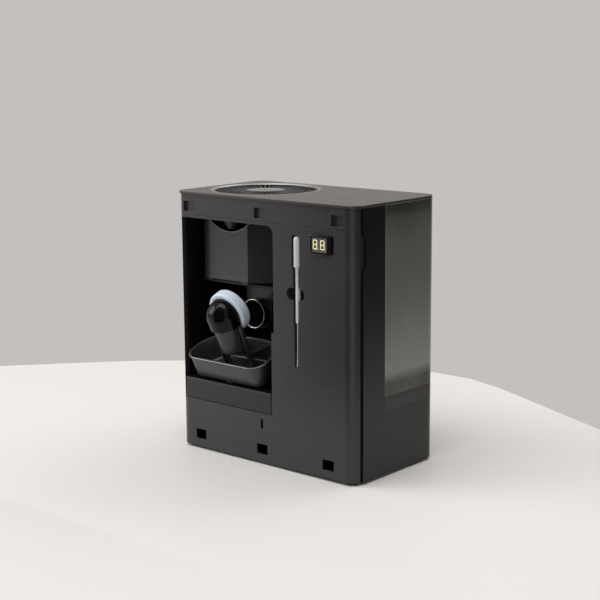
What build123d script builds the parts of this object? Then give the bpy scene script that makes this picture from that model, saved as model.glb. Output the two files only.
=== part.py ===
"""Countertop distiller with its front cover off, as an assembly of separate named pieces.

Frame: millimetres, +Z up, +X to the right seen from the front, the front faces -Y.
The origin is the centre of the footprint, on the surface that the machine stands on.
"""
import math
import os

from build123d import *

# ---------------------------------------------------------------- overall
WIDTH = 280.0
DEPTH = 156.0
HEIGHT = 320.0
CORNER = 15.0
LEFT, RIGHT = -WIDTH / 2, WIDTH / 2
FRONT, BACK = -DEPTH / 2, DEPTH / 2

# ---------------------------------------------------------------- walls, seams and clearances
SHELL_WALL = 3.0
FRONT_WALL = 2.5
LINER_WALL = 1.8
COVER_INSET = 2.0        # room for the lift-off front cover round the front frame
SEAM = 0.4               # open line between two fixed covers
GAP = 0.3                # between bodies that move apart
RUNNING = 0.05           # radial clearance of a shaft in its bore
TOP_THICKNESS = 3.0
FOOT_HEIGHT = 3.0
BASE_THICKNESS = 3.5

# ---------------------------------------------------------------- levels
TOP_UNDER = HEIGHT - TOP_THICKNESS
BASE_TOP = FOOT_HEIGHT + BASE_THICKNESS
BAND_HEIGHT = 25.0                       # front band below the top plate
BAND_SEAM = TOP_UNDER - BAND_HEIGHT
LEDGE_BOTTOM = 63.0
RIGHT_SEAM = 114.0
DECK_TOP = 85.0
DECK_THICKNESS = 3.0
BAY_STRIP = 3.5                          # strip of front panel over the bay opening
BAY_TOP = BAND_SEAM - BAY_STRIP
CEILING_THICKNESS = 1.6

# ---------------------------------------------------------------- front frame and bay
FRAME_DEPTH = 11.2
GROOVE = 3.2
FRAME_BACK = FRONT + COVER_INSET + FRAME_DEPTH
SHELL_FRONT = FRAME_BACK + GROOVE
BAY_LEFT = LEFT + COVER_INSET + FRONT_WALL
BAY_RIGHT = LEFT + 158.4
BAY_RIGHT_LOW = LEFT + 154.6
BAY_STEP = 163.0
BAY_CORNER = 9.5
BAY_DEPTH = 112.0
BAY_BACK = FRONT + BAY_DEPTH
LINER_LEFT = BAY_LEFT + 0.1
LINER_RIGHT = BAY_RIGHT + 2.6

# ---------------------------------------------------------------- tank corner
TANK_LEFT = LEFT + 169.5
TANK_FRONT = FRONT + 56.2
TANK_WALL = 2.6
SEAT_BOTTOM = 79.0
SEAT_HEIGHT = 13.0
TANK_BASE_HEIGHT = 4.2
DIVIDER = 2.0
VALVE_X, VALVE_Y = TANK_LEFT + 55.0, TANK_FRONT + 50.0
VALVE_RADIUS = 4.0
NECK_RADIUS = 11.0

# ---------------------------------------------------------------- fan and condenser
FAN_X, FAN_Y = LEFT + 78.0, FRONT + 80.0
FAN_OPENING = 68.0
RING_WIDTH = 4.2
GRILLE_DISC = 23.5
GRILLE_DROP = 1.6
GRILLE_THICKNESS = 3.6
VANES = 54
BLADES = 9
HUB_RADIUS = 21.0
SHAFT_RADIUS = 2.0
COIL_TUBE = 5.0
COIL_TURNS = 4
COIL_PITCH = 8.0
COIL_INNER = 26.0

# ---------------------------------------------------------------- boiling pan and elbow
BOILER_X = LEFT + 75.5
TIP_ANGLE = 23.5
TIP_Y, TIP_Z = FRONT + 9.0, 89.5
PAN_HEIGHT = 30.0
PAN_WALL = 2.0
PAN_RIM_WIDTH, PAN_BASE_WIDTH = 124.0, 110.0
PAN_RIM_DEPTH, PAN_BASE_DEPTH = 57.0, 50.0
TUBE_SETBACK = 29.5                      # elbow tube axis, behind the pan's front edge
TUBE_RADIUS = 18.0
TUBE_WALL = 2.0
SHELL_HEIGHT = 67.0                      # foot of the elbow head above the pan's underside
HEAD_RADIUS = 21.4
SPIGOT_RADIUS = 20.5                     # the head's level end, inside the seal
FLANGE_WIDTH = 49.0
PORT_RISE = 78.0                         # port axis above the pan's underside
PORT_SETBACK = 48.0                      # port rim behind the pan's front edge
PORT_RADIUS = 18.25
SEAL_RADIUS = 27.0
SEAL_LENGTH = 13.7
HOT_PLATE_RADIUS = 22.0
TRAY_MARGIN = 5.2                        # open gap at the spill tray's left end

# ---------------------------------------------------------------- receiver cup
CUP_LEFT = LINER_LEFT + LINER_WALL + 1.6
CUP_FACE = 84.0
CUP_FRONT = FRONT + 30.0
CUP_DEPTH = 68.0
CUP_WIDTH = 121.5
CUP_CORNER = 19.0
CUP_SLANT = 31.0
CUP_WALL = 1.8
SHELF_TOP = BAY_TOP - 79.3
SHELF_THICKNESS = 2.6
CUP_HEIGHT = 74.0
CUP_FOOT = 1.7
SCOOP_RADIUS = 48.0
SCOOP_DROP = 16.0
SCOOP_X = CUP_LEFT + 54.0
NOZZLE_X, NOZZLE_Y = LEFT + 60.0, FRONT + 38.0
NOZZLE_LENGTH = 15.0
NOZZLE_TIP, NOZZLE_BASE, NOZZLE_BORE = 5.0, 15.0, 2.4

# ---------------------------------------------------------------- front details
CATCH_WIDTH, CATCH_HEIGHT = 17.0, 12.5
CATCH_SHIFT = -2.0                       # the catches sit a little left of the middle
TOP_CATCH_MARGIN = 24.0                  # outer catch to the machine's side
LOW_CATCH_MARGIN = 38.0
CATCH_DEPTH = 4.0
TOP_CATCH_Z = TOP_UNDER - 15.0
LOW_CATCH_Z = 19.0
PIPETTE_X, PIPETTE_Y = BAY_RIGHT + 34.6, FRONT + 6.2
PIPETTE_BOTTOM = 127.6
PIPETTE_LENGTH = 152.7
PIPETTE_ROOM = 0.9
BULB_RADIUS, STEM_RADIUS, TIP_RADIUS = 5.0, 3.1, 1.3
DISPLAY_X, DISPLAY_Z = BAY_RIGHT + 72.5, BAND_SEAM - 18.2
DISPLAY_WIDTH, DISPLAY_HEIGHT = 30.6, 20.0
DIGIT_WIDTH, DIGIT_HEIGHT, DIGIT_LINE = 7.4, 12.6, 1.5
BUTTON_X, BUTTON_Y, BUTTON_RADIUS = LEFT + 25.5, FRONT + 25.5, 4.6
COLLAR_WIDTH = 1.4
BUTTON_TRAVEL = 1.2
INLET_X, INLET_Z = LEFT + 48.0, 34.0
INLET_WIDTH, INLET_HEIGHT = 28.0, 20.0

PARTS = {}


# ---------------------------------------------------------------- helpers
def block(x, y, z):
    """A box between the low and high values given for each axis."""
    middle = Pos((x[0] + x[1]) / 2, (y[0] + y[1]) / 2, (z[0] + z[1]) / 2)
    return middle * Box(x[1] - x[0], y[1] - y[0], z[1] - z[0])


def disc(radius, x, y, z):
    """An upright cylinder between two levels."""
    return Pos(x, y, (z[0] + z[1]) / 2) * Cylinder(radius, z[1] - z[0])


def barrel(radius, x, z, y):
    """A cylinder along Y between two depths."""
    return Pos(x, (y[0] + y[1]) / 2, z) * Rot(X=90) * Cylinder(radius, y[1] - y[0])


def rounded_block(x, y, z, radius):
    """A box with its four upright edges rounded."""
    plan = Pos((x[0] + x[1]) / 2, (y[0] + y[1]) / 2, z[0])
    return extrude(plan * RectangleRounded(x[1] - x[0], y[1] - y[0], radius), amount=z[1] - z[0])


def footprint(inset, z):
    """The machine's rounded footprint, drawn in by an inset, between two levels."""
    sides = (LEFT + inset, RIGHT - inset)
    return rounded_block(sides, (FRONT + inset, BACK - inset), z, CORNER - inset)


def wall_ring(inset, wall, z):
    """A wall that follows the footprint."""
    return footprint(inset, z) - footprint(inset + wall, (z[0] - 1, z[1] + 1))


def front_slab(face, depth):
    """A face drawn in X and Z, made solid over a range of depths."""
    return extrude(Pos(0, depth[1], 0) * Rot(X=90) * face, amount=depth[1] - depth[0])


def add(name, shape):
    """Keep a finished piece under its node name."""
    solids = shape.solids()
    PARTS[name] = solids[0] if len(solids) == 1 else Compound(children=list(solids))


# ---------------------------------------------------------------- base and outer covers
def make_base():
    """Anti-slip mat, base plate and the shells that stand on it."""
    add("base_mat", footprint(8, (0, FOOT_HEIGHT)))
    plate = footprint(COVER_INSET + FRONT_WALL + 0.2, (FOOT_HEIGHT, BASE_TOP))
    add("base_plate", plate)


def make_shells():
    """Left shell, right shell and back panel behind the groove."""
    z = (FOOT_HEIGHT, TOP_UNDER)
    ring = wall_ring(0, SHELL_WALL, z)
    corner = CORNER + 5
    add("left_shell", ring & block((LEFT, LEFT + corner), (SHELL_FRONT, BACK), z))

    right = ring & block((RIGHT - corner, RIGHT), (SHELL_FRONT, BACK), z)
    right -= block((RIGHT - corner - 1, RIGHT + 1), (TANK_FRONT - SEAM, BACK + 1), (SEAT_BOTTOM, HEIGHT))
    notch = Polyline(
        (SHELL_FRONT - 1, TOP_UNDER - 29), (SHELL_FRONT, TOP_UNDER - 29), (SHELL_FRONT + 5, TOP_UNDER - 35),
        (SHELL_FRONT + 5, TOP_UNDER - 67), (SHELL_FRONT, TOP_UNDER - 73), (SHELL_FRONT - 1, TOP_UNDER - 73),
        close=True)
    notch_face = Plane.YZ * make_face(notch)
    right -= extrude(Pos(RIGHT - SHELL_WALL - 1, 0, 0) * notch_face, amount=SHELL_WALL + 2)
    add("right_shell", right)

    panel_y = (BACK - SHELL_WALL, BACK)
    upper_right = TANK_LEFT - DIVIDER - 2 * SEAM
    panel = block((LEFT + corner + SEAM, upper_right), panel_y, z)
    panel += block((LEFT + corner + SEAM, RIGHT - corner - SEAM), panel_y, (FOOT_HEIGHT, SEAT_BOTTOM))
    for row in range(11):
        level = TOP_UNDER - 22 - 7 * row
        panel -= block((FAN_X - 42, FAN_X + 42), (BACK - 5, BACK + 1), (level, level + 3))
    inlet_x = (INLET_X - INLET_WIDTH / 2, INLET_X + INLET_WIDTH / 2)
    inlet_z = (INLET_Z - INLET_HEIGHT / 2, INLET_Z + INLET_HEIGHT / 2)
    panel -= block(inlet_x, (BACK - 5, BACK + 1), inlet_z)
    for x, level in screw_places():
        panel -= barrel(1.8, x, level, (BACK - 5, BACK + 1))
        panel -= barrel(3.6, x, level, (BACK - 1.8, BACK + 1))
    add("back_panel", panel)

    screws = Part()
    for x, level in screw_places():
        screws += barrel(3.3, x, level, (BACK - 1.7, BACK - 0.1))
        screws += barrel(1.6, x, level, (BACK - 10, BACK - 1.7))
    add("panel_screws", screws)

    strips = Part()
    for low in (LEFT + SHELL_WALL, RIGHT - SHELL_WALL - 1.5):
        strips += block((low, low + 1.5), (FRAME_BACK, SHELL_FRONT + 6), (BASE_TOP, TOP_UNDER))
    add("groove_strips", strips)


def screw_places():
    """Centres of the back panel's screws, as X and Z."""
    places = [(LEFT + 28, level) for level in (15.0, HEIGHT / 2, TOP_UNDER - 12)]
    places += [(TANK_LEFT - 12, level) for level in (15.0, HEIGHT / 2, TOP_UNDER - 12)]
    places.append((RIGHT - 30, 15.0))
    return places


def make_front():
    """The front frame's three panels, inset for the lift-off cover."""
    frame_zone = ((LEFT, RIGHT), (FRONT, FRAME_BACK))
    band_z = (BAND_SEAM + SEAM / 2, TOP_UNDER)
    band = wall_ring(COVER_INSET, FRONT_WALL, band_z) & block(*frame_zone, band_z)
    face = FRONT + COVER_INSET
    for x in catch_places(TOP_CATCH_MARGIN):
        boss = (x - CATCH_WIDTH / 2 - 2, x + CATCH_WIDTH / 2 + 2)
        boss_y = (face + CATCH_DEPTH - 2, face + CATCH_DEPTH + 2)
        band += block(boss, boss_y, (TOP_CATCH_Z - 8, TOP_CATCH_Z + 8))
        pocket = (x - CATCH_WIDTH / 2, x + CATCH_WIDTH / 2)
        half = CATCH_HEIGHT / 2
        band -= block(pocket, (face - 1, face + CATCH_DEPTH), (TOP_CATCH_Z - half, TOP_CATCH_Z + half))
    add("front_top_band", band)

    low_z = (FOOT_HEIGHT, RIGHT_SEAM - SEAM / 2)
    lower = wall_ring(COVER_INSET, FRONT_WALL, low_z) & block(*frame_zone, low_z)
    lower -= block((LEFT - 1, BAY_RIGHT_LOW), (FRONT - 1, FRAME_BACK + 1), (LEDGE_BOTTOM, RIGHT_SEAM + 1))
    for x in catch_places(LOW_CATCH_MARGIN):
        hole = (x - CATCH_WIDTH / 2, x + CATCH_WIDTH / 2)
        half = CATCH_HEIGHT / 2
        lower -= block(hole, (face - 1, face + 5), (LOW_CATCH_Z - half, LOW_CATCH_Z + half))
    lower -= block((-4, -0.2), (face - 1, face + 5), (44, 56))
    add("front_lower_panel", lower)

    mid_z = (LEDGE_BOTTOM + SEAM, BAND_SEAM - SEAM / 2)
    surround = wall_ring(COVER_INSET, FRONT_WALL, mid_z) & block(*frame_zone, mid_z)
    below = (mid_z[0] - 1, RIGHT_SEAM + SEAM / 2)
    surround -= block((BAY_LEFT, RIGHT + 1), (FRONT - 1, FRAME_BACK + 1), below)
    surround -= bay_opening()
    surround -= pipette_room()
    surround -= finger_room()
    clear_x = (DISPLAY_X - DISPLAY_WIDTH / 2 - 0.3, DISPLAY_X + DISPLAY_WIDTH / 2 + 2.6)
    clear_z = (DISPLAY_Z - DISPLAY_HEIGHT / 2 - 0.3, DISPLAY_Z + DISPLAY_HEIGHT / 2 + 0.3)
    surround -= block(clear_x, (face - 1, face + 4), clear_z)
    add("front_surround", surround)


def catch_places(margin):
    """Middles of a row of three cover catches, the outer two a margin from the sides."""
    return [LEFT + margin + CATCH_SHIFT, CATCH_SHIFT, RIGHT - margin + CATCH_SHIFT]


def bay_opening():
    """The opening through the front frame into the bay."""
    y = (FRONT - 1, FRAME_BACK + 1)
    upper = block((BAY_LEFT, BAY_RIGHT), y, (BAY_STEP, BAY_TOP))
    edge = upper.edges().filter_by(Axis.Y).sort_by(lambda e: e.center().X + e.center().Z)[-1]
    upper = fillet(edge, BAY_CORNER)
    return upper + block((BAY_LEFT, BAY_RIGHT_LOW), y, (RIGHT_SEAM - 40, BAY_STEP))


def make_top():
    """Top plate with its fan opening, tank corner, button and touch marks."""
    plate = footprint(0, (TOP_UNDER, HEIGHT))
    plate -= block((TANK_LEFT - SEAM, RIGHT + 1), (TANK_FRONT - SEAM, BACK + 1), (TOP_UNDER - 1, HEIGHT + 1))
    plate -= disc(FAN_OPENING + 0.1, FAN_X, FAN_Y, (TOP_UNDER - 1, HEIGHT + 1))
    plate -= disc(BUTTON_RADIUS + COLLAR_WIDTH + 0.1, BUTTON_X, BUTTON_Y, (TOP_UNDER - 1, HEIGHT + 1))
    marks = Part()
    for x in touch_places():
        plate -= disc(4.3, x, FRONT + 20, (HEIGHT - 0.4, HEIGHT + 1))
        marks += disc(4.2, x, FRONT + 20, (HEIGHT - 0.4, HEIGHT - 0.05))
    edges = plate.edges().filter_by(Plane.XY).group_by(Axis.Z)[-1]
    outside = [e for e in edges if min(abs(abs(e.center().X) - WIDTH / 2), abs(e.center().Y - FRONT)) < 0.01]
    plate = chamfer(outside, 0.5)
    add("top_plate", plate)
    add("touch_marks", marks)

    collar = disc(BUTTON_RADIUS + COLLAR_WIDTH, BUTTON_X, BUTTON_Y, (TOP_UNDER - 3, HEIGHT - 0.1))
    collar -= disc(BUTTON_RADIUS + GAP, BUTTON_X, BUTTON_Y, (TOP_UNDER - 4, HEIGHT + 1))
    switch_z = TOP_UNDER - 3
    collar += disc(BUTTON_RADIUS + COLLAR_WIDTH, BUTTON_X, BUTTON_Y, (switch_z - 3, switch_z))
    add("button_collar", collar)
    cap = disc(BUTTON_RADIUS, BUTTON_X, BUTTON_Y, (switch_z + BUTTON_TRAVEL + GAP, HEIGHT - 0.2))
    cap = fillet(cap.edges().group_by(Axis.Z)[-1], 0.6)
    add("power_button", cap)


def touch_places():
    """X of the touch marks along the front of the top plate."""
    return [BAY_RIGHT + step for step in (28.6, 44.6, 67.6, 80.6, 93.6)]


# ---------------------------------------------------------------- fan and condenser
def make_fan():
    """Ring, grille, shroud, motor and impeller under the top plate."""
    ring = disc(FAN_OPENING, FAN_X, FAN_Y, (TOP_UNDER - 0.4, HEIGHT))
    ring -= disc(FAN_OPENING - RING_WIDTH, FAN_X, FAN_Y, (TOP_UNDER - 2, HEIGHT + 1))
    ring = chamfer(ring.edges().group_by(Axis.Z)[-1].sort_by(SortBy.LENGTH)[0], 1.2)
    add("fan_ring", ring)

    grille_top = HEIGHT - GRILLE_DROP
    grille_z = (grille_top - GRILLE_THICKNESS, grille_top)
    outer = FAN_OPENING - RING_WIDTH - 0.2
    grille = disc(outer, FAN_X, FAN_Y, grille_z) - disc(outer - 2, FAN_X, FAN_Y, (grille_z[0] - 1, HEIGHT))
    grille += disc(GRILLE_DISC, FAN_X, FAN_Y, grille_z)
    vane = block((GRILLE_DISC - 1, outer - 1), (-0.7, 0.7), (grille_z[0] + 0.3, grille_z[1] - 0.3))
    vanes = [Pos(FAN_X, FAN_Y, 0) * Rot(Z=360 * i / VANES) * vane for i in range(VANES)]
    grille = grille + vanes
    add("fan_grille", grille)

    ceiling_top = BAY_TOP + CEILING_THICKNESS
    spider_z = (ceiling_top + COIL_TUBE + 1, ceiling_top + COIL_TUBE + 3)
    shroud_z = (spider_z[0], TOP_UNDER - 0.4)
    shroud = disc(FAN_OPENING - 1.5, FAN_X, FAN_Y, shroud_z)
    shroud -= disc(FAN_OPENING - 5.5, FAN_X, FAN_Y, (shroud_z[0] - 1, shroud_z[1] + 1))
    grille_seat = disc(outer + 0.1, FAN_X, FAN_Y, (grille_z[0], HEIGHT))
    shroud -= grille_seat
    shroud += disc(HUB_RADIUS, FAN_X, FAN_Y, spider_z)
    for i in range(4):
        turn = Pos(FAN_X, FAN_Y, 0) * Rot(Z=45 + 90 * i)
        shroud += turn * block((HUB_RADIUS - 1, FAN_OPENING - 4), (-3, 3), spider_z)
        shroud += turn * block((FAN_OPENING - 5.5, FAN_OPENING - 1.6), (-4, 4), (ceiling_top, spider_z[1]))
    add("fan_shroud", shroud)

    motor_top = spider_z[1] + 5
    motor = disc(HUB_RADIUS - 2, FAN_X, FAN_Y, (spider_z[1], motor_top))
    motor += disc(SHAFT_RADIUS, FAN_X, FAN_Y, (motor_top, motor_top + 8))
    add("fan_motor", motor)

    hub_z = (motor_top + 0.8, grille_z[0] - 1)
    wheel = disc(HUB_RADIUS, FAN_X, FAN_Y, hub_z)
    span = (HUB_RADIUS - 2, FAN_OPENING - 5.5 - 2.5)
    tall = hub_z[1] - hub_z[0]
    middle = (hub_z[0] + hub_z[1]) / 2
    blade = Box(span[1] - span[0], 1.4, tall * 1.25)
    blade = Pos((span[0] + span[1]) / 2, 0, middle) * Rot(X=50) * blade
    blade = blade & block((0, 200), (-40, 40), hub_z)
    wheel = wheel + [Pos(FAN_X, FAN_Y, 0) * Rot(Z=360 * i / BLADES) * blade for i in range(BLADES)]
    wheel -= disc(SHAFT_RADIUS + RUNNING, FAN_X, FAN_Y, (hub_z[0] - 1, motor_top + 8.4))
    add("impeller", wheel)


def make_condenser():
    """Flat spiral coil on the bay ceiling, its steam riser and the drip nozzle."""
    ceiling_top = BAY_TOP + CEILING_THICKNESS
    plate = footprint(COVER_INSET + FRONT_WALL + 0.1, (BAY_TOP, ceiling_top))
    plate &= block((LEFT, TANK_LEFT - DIVIDER - 2 * SEAM), (FRONT, BACK - SHELL_WALL - 0.1), (0, HEIGHT))
    plate -= disc(6.1, NOZZLE_X, NOZZLE_Y, (0, HEIGHT))
    riser = riser_box(TUBE_WALL)
    plate -= riser
    add("bay_ceiling", plate)

    level = ceiling_top + COIL_TUBE / 2 + 0.2
    arcs = []
    for half in range(2 * COIL_TURNS):
        side = 1 - 2 * (half % 2)
        centre = FAN_X + COIL_PITCH / 2 * (half % 2)
        radius = COIL_INNER + COIL_PITCH / 2 * half
        start = (centre + side * radius, FAN_Y, level)
        over = (centre, FAN_Y + side * radius, level)
        end = (centre - side * radius, FAN_Y, level)
        arcs.append(ThreePointArc(start, over, end))
    path = Wire(arcs)
    profile = Plane(origin=path @ 0, z_dir=path % 0) * Circle(COIL_TUBE / 2)
    add("condenser_coil", sweep(profile, path))

    body = riser_box(0) - riser_box(TUBE_WALL)
    body -= duct_face_solid(TUBE_WALL, (BAY_BACK, BAY_BACK + LINER_WALL + TUBE_WALL + 1))
    add("steam_riser", body)

    cone = Cone(NOZZLE_TIP, NOZZLE_BASE, NOZZLE_LENGTH)
    cone = Pos(NOZZLE_X, NOZZLE_Y, BAY_TOP - NOZZLE_LENGTH / 2) * cone
    cone += disc(6.0, NOZZLE_X, NOZZLE_Y, (BAY_TOP - 1, ceiling_top))
    cone -= disc(NOZZLE_BORE, NOZZLE_X, NOZZLE_Y, (BAY_TOP - NOZZLE_LENGTH - 1, ceiling_top + 1))
    add("drip_nozzle", cone)


def riser_box(inset):
    """The steam riser's outline behind the bay, drawn in by an inset."""
    y0 = BAY_BACK + LINER_WALL
    low = TIP_Z + PORT_RISE - 20
    x = (BOILER_X - 20 + inset, BOILER_X + 20 - inset)
    return block(x, (y0 + inset, y0 + 22 - inset), (low + inset, BAY_TOP + (2 if inset else 0)))


# ---------------------------------------------------------------- bay
def make_bay():
    """Black liner, deck, hot plate, shelf, duct and port."""
    liner = block((LINER_LEFT, LINER_RIGHT), (FRAME_BACK + 0.2, BAY_BACK + LINER_WALL), (BASE_TOP, BAY_TOP))
    hollow = (LINER_LEFT + LINER_WALL, LINER_RIGHT - LINER_WALL)
    liner -= block(hollow, (FRONT, BAY_BACK), (0, HEIGHT))
    liner -= duct_face_solid(TUBE_WALL, (BAY_BACK - 1, BAY_BACK + 5))
    add("bay_liner", liner)

    deck_x = (hollow[0] + 0.1, hollow[1] - 0.1)
    deck = block(deck_x, (FRONT + 8, BAY_BACK - 0.1), (DECK_TOP - DECK_THICKNESS, DECK_TOP))
    skirt_x = (deck_x[0], BAY_RIGHT_LOW - 0.2)
    deck += block(skirt_x, (FRONT + 8, FRONT + 10), (LEDGE_BOTTOM + 0.2, DECK_TOP - DECK_THICKNESS))
    for x in (deck_x[0] + 5, deck_x[1] - 9):
        deck += block((x, x + 4), (FRONT + 14, BAY_BACK - 0.1), (DECK_TOP, DECK_TOP + 1))
    add("deck_plate", deck)

    plate_y = TIP_Y + 27
    add("hot_plate", disc(HOT_PLATE_RADIUS, BOILER_X, plate_y, (DECK_TOP, TIP_Z - 0.5)))
    heater_top = DECK_TOP - DECK_THICKNESS
    heater = disc(HOT_PLATE_RADIUS + 3, BOILER_X, plate_y, (heater_top - 8, heater_top))
    for x in (BOILER_X - 8, BOILER_X + 8):
        heater += block((x - 2, x + 2), (plate_y - 1, plate_y + 1), (heater_top - 20, heater_top - 7))
    add("heater_block", heater)

    shelf_z = (SHELF_TOP - SHELF_THICKNESS, SHELF_TOP)
    add("cup_shelf", block((hollow[0] + 0.1, hollow[1] - 0.1), (CUP_FRONT + 4, BAY_BACK - 0.1), shelf_z))

    duct = duct_face_solid(0, (TIP_Y + PORT_SETBACK + 12, BAY_BACK - 0.1))
    duct -= duct_face_solid(TUBE_WALL, (TIP_Y + PORT_SETBACK + 12 + TUBE_WALL, BAY_BACK + 1))
    port_z = TIP_Z + PORT_RISE
    duct -= barrel(PORT_RADIUS + 0.1, BOILER_X, port_z, (FRONT, TIP_Y + PORT_SETBACK + 20))
    add("duct_housing", duct)

    rim_y = TIP_Y + PORT_SETBACK
    port = barrel(PORT_RADIUS, BOILER_X, port_z, (rim_y, rim_y + 16))
    port -= barrel(PORT_RADIUS - 1.1, BOILER_X, port_z, (rim_y - 1, rim_y + 17))
    add("port_tube", port)


def duct_face_solid(inset, depth):
    """The steam duct's tapered outline over a range of depths, drawn in by an inset."""
    z = TIP_Z + PORT_RISE
    low = 19.5 - inset
    high = 23.3 - inset
    top = SHELF_TOP - SHELF_THICKNESS - 0.2 - inset
    outline = Polyline((BOILER_X - low, z), (BOILER_X - high, top), (BOILER_X + high, top),
                       (BOILER_X + low, z), close=True)
    return front_slab(make_face(outline), depth) + barrel(low, BOILER_X, z, depth)


# ---------------------------------------------------------------- receiver cup
def cup_outline(inset):
    """Plan of the receiver cup, with its slanted right face."""
    run = math.tan(math.radians(CUP_SLANT))
    low_x, high_x = CUP_LEFT + inset, CUP_LEFT + CUP_WIDTH - inset
    low_y, high_y = CUP_FRONT + inset, CUP_FRONT + CUP_DEPTH - inset
    bend = CUP_LEFT + CUP_FACE - inset * math.tan(math.radians(CUP_SLANT / 2))
    outline = Polyline((low_x, low_y), (bend, low_y), (high_x, low_y + (high_x - bend) * run),
                       (high_x, high_y), (low_x, high_y), close=True)
    face = make_face(outline)
    left = face.vertices().group_by(Axis.X)[0].sort_by(Axis.Y)
    face = fillet(left[0], CUP_CORNER - inset)
    left = face.vertices().group_by(Axis.X)[0].sort_by(Axis.Y)
    face = fillet(left[-1], 7 - inset)
    right = face.vertices().group_by(Axis.X)[-1]
    return fillet(right, 4.5 - inset)


def make_cup():
    """Receiver cup: scooped front, low back wall, banded foot."""
    foot_z = SHELF_TOP + GAP
    band_z = foot_z + CUP_FOOT
    wall_z = band_z + 3.4
    top = foot_z + CUP_HEIGHT + 3.5
    cup = extrude(Pos(0, 0, wall_z) * cup_outline(0.8), amount=top - wall_z)
    cup += extrude(Pos(0, 0, band_z) * cup_outline(0), amount=wall_z - band_z)
    cup -= extrude(Pos(0, 0, band_z + 2) * cup_outline(0.8 + CUP_WALL), amount=top)
    for x in (CUP_LEFT + CUP_CORNER, CUP_LEFT + CUP_FACE - 6):
        for y in (CUP_FRONT + 1, CUP_FRONT + CUP_DEPTH - 8):
            cup += block((x - 5, x + 5), (y, y + 7), (foot_z, band_z))
    scoop_z = top - SCOOP_DROP + SCOOP_RADIUS
    cup -= barrel(SCOOP_RADIUS, SCOOP_X, scoop_z, (CUP_FRONT - 2, CUP_FRONT + 5))
    rear = (CUP_FRONT + CUP_DEPTH - 5, CUP_FRONT + CUP_DEPTH + 1)
    cup -= block((CUP_LEFT + 8, CUP_LEFT + CUP_WIDTH - 8), rear, (BAY_TOP - NOZZLE_LENGTH - 4, HEIGHT))
    add("receiver_cup", cup)


# ---------------------------------------------------------------- spill tray and boiler
def make_tray():
    """Spill tray that slides out round the hot plate and carries the boiler."""
    x = (BAY_LEFT + TRAY_MARGIN, BAY_RIGHT_LOW - 1.0)
    face = FRONT + COVER_INSET
    apron = block(x, (face + 1, face + 4), (LEDGE_BOTTOM + 0.5, TIP_Z - 3.4))
    apron = fillet(apron.edges().filter_by(Axis.Z).group_by(Axis.Y)[0], 2.4)
    lip = block((x[0] + 1.2, x[1] - 1.2), (face + 0.6, face + 5.4), (TIP_Z - 3.4, TIP_Z - 0.6))
    lip = fillet(lip.edges().filter_by(Axis.X).group_by(Axis.Y)[0], 1.0)
    floor_z = (DECK_TOP + 1 + GAP, TIP_Z - 0.9)
    floor_x = (x[0] + 1.2, x[1] - 1.2)
    floor = block(floor_x, (face + 3, BAY_BACK - 8), floor_z)
    slot = (BOILER_X - HOT_PLATE_RADIUS - 3, BOILER_X + HOT_PLATE_RADIUS + 3)
    floor -= block(slot, (TIP_Y + 27 - HOT_PLATE_RADIUS - 2, BACK), (0, HEIGHT))
    add("spill_tray", apron + lip + floor)


def pan_plan(level, inset):
    """The pan's outline at a height above its underside, drawn in by an inset."""
    share = level / PAN_HEIGHT
    half = (PAN_BASE_WIDTH + (PAN_RIM_WIDTH - PAN_BASE_WIDTH) * share) / 2 - inset
    deep = PAN_BASE_DEPTH + (PAN_RIM_DEPTH - PAN_BASE_DEPTH) * share - inset
    near = 9 + 9 * share - inset
    far = 29 + 8 * share - inset
    outline = Polyline((BOILER_X - half, TIP_Y + inset), (BOILER_X + half, TIP_Y + inset),
                       (BOILER_X + half, TIP_Y + deep), (BOILER_X - half, TIP_Y + deep), close=True)
    face = make_face(outline)
    face = fillet(face.vertices().group_by(Axis.Y)[0], near)
    face = fillet(face.vertices().group_by(Axis.Y)[-1], far)
    return Pos(0, 0, TIP_Z + level) * face


def tipped(shape):
    """Turn a seated boiler piece forward about the pan's front edge."""
    return Pos(0, TIP_Y, TIP_Z) * Rot(X=TIP_ANGLE) * Pos(0, -TIP_Y, -TIP_Z) * shape


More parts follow.
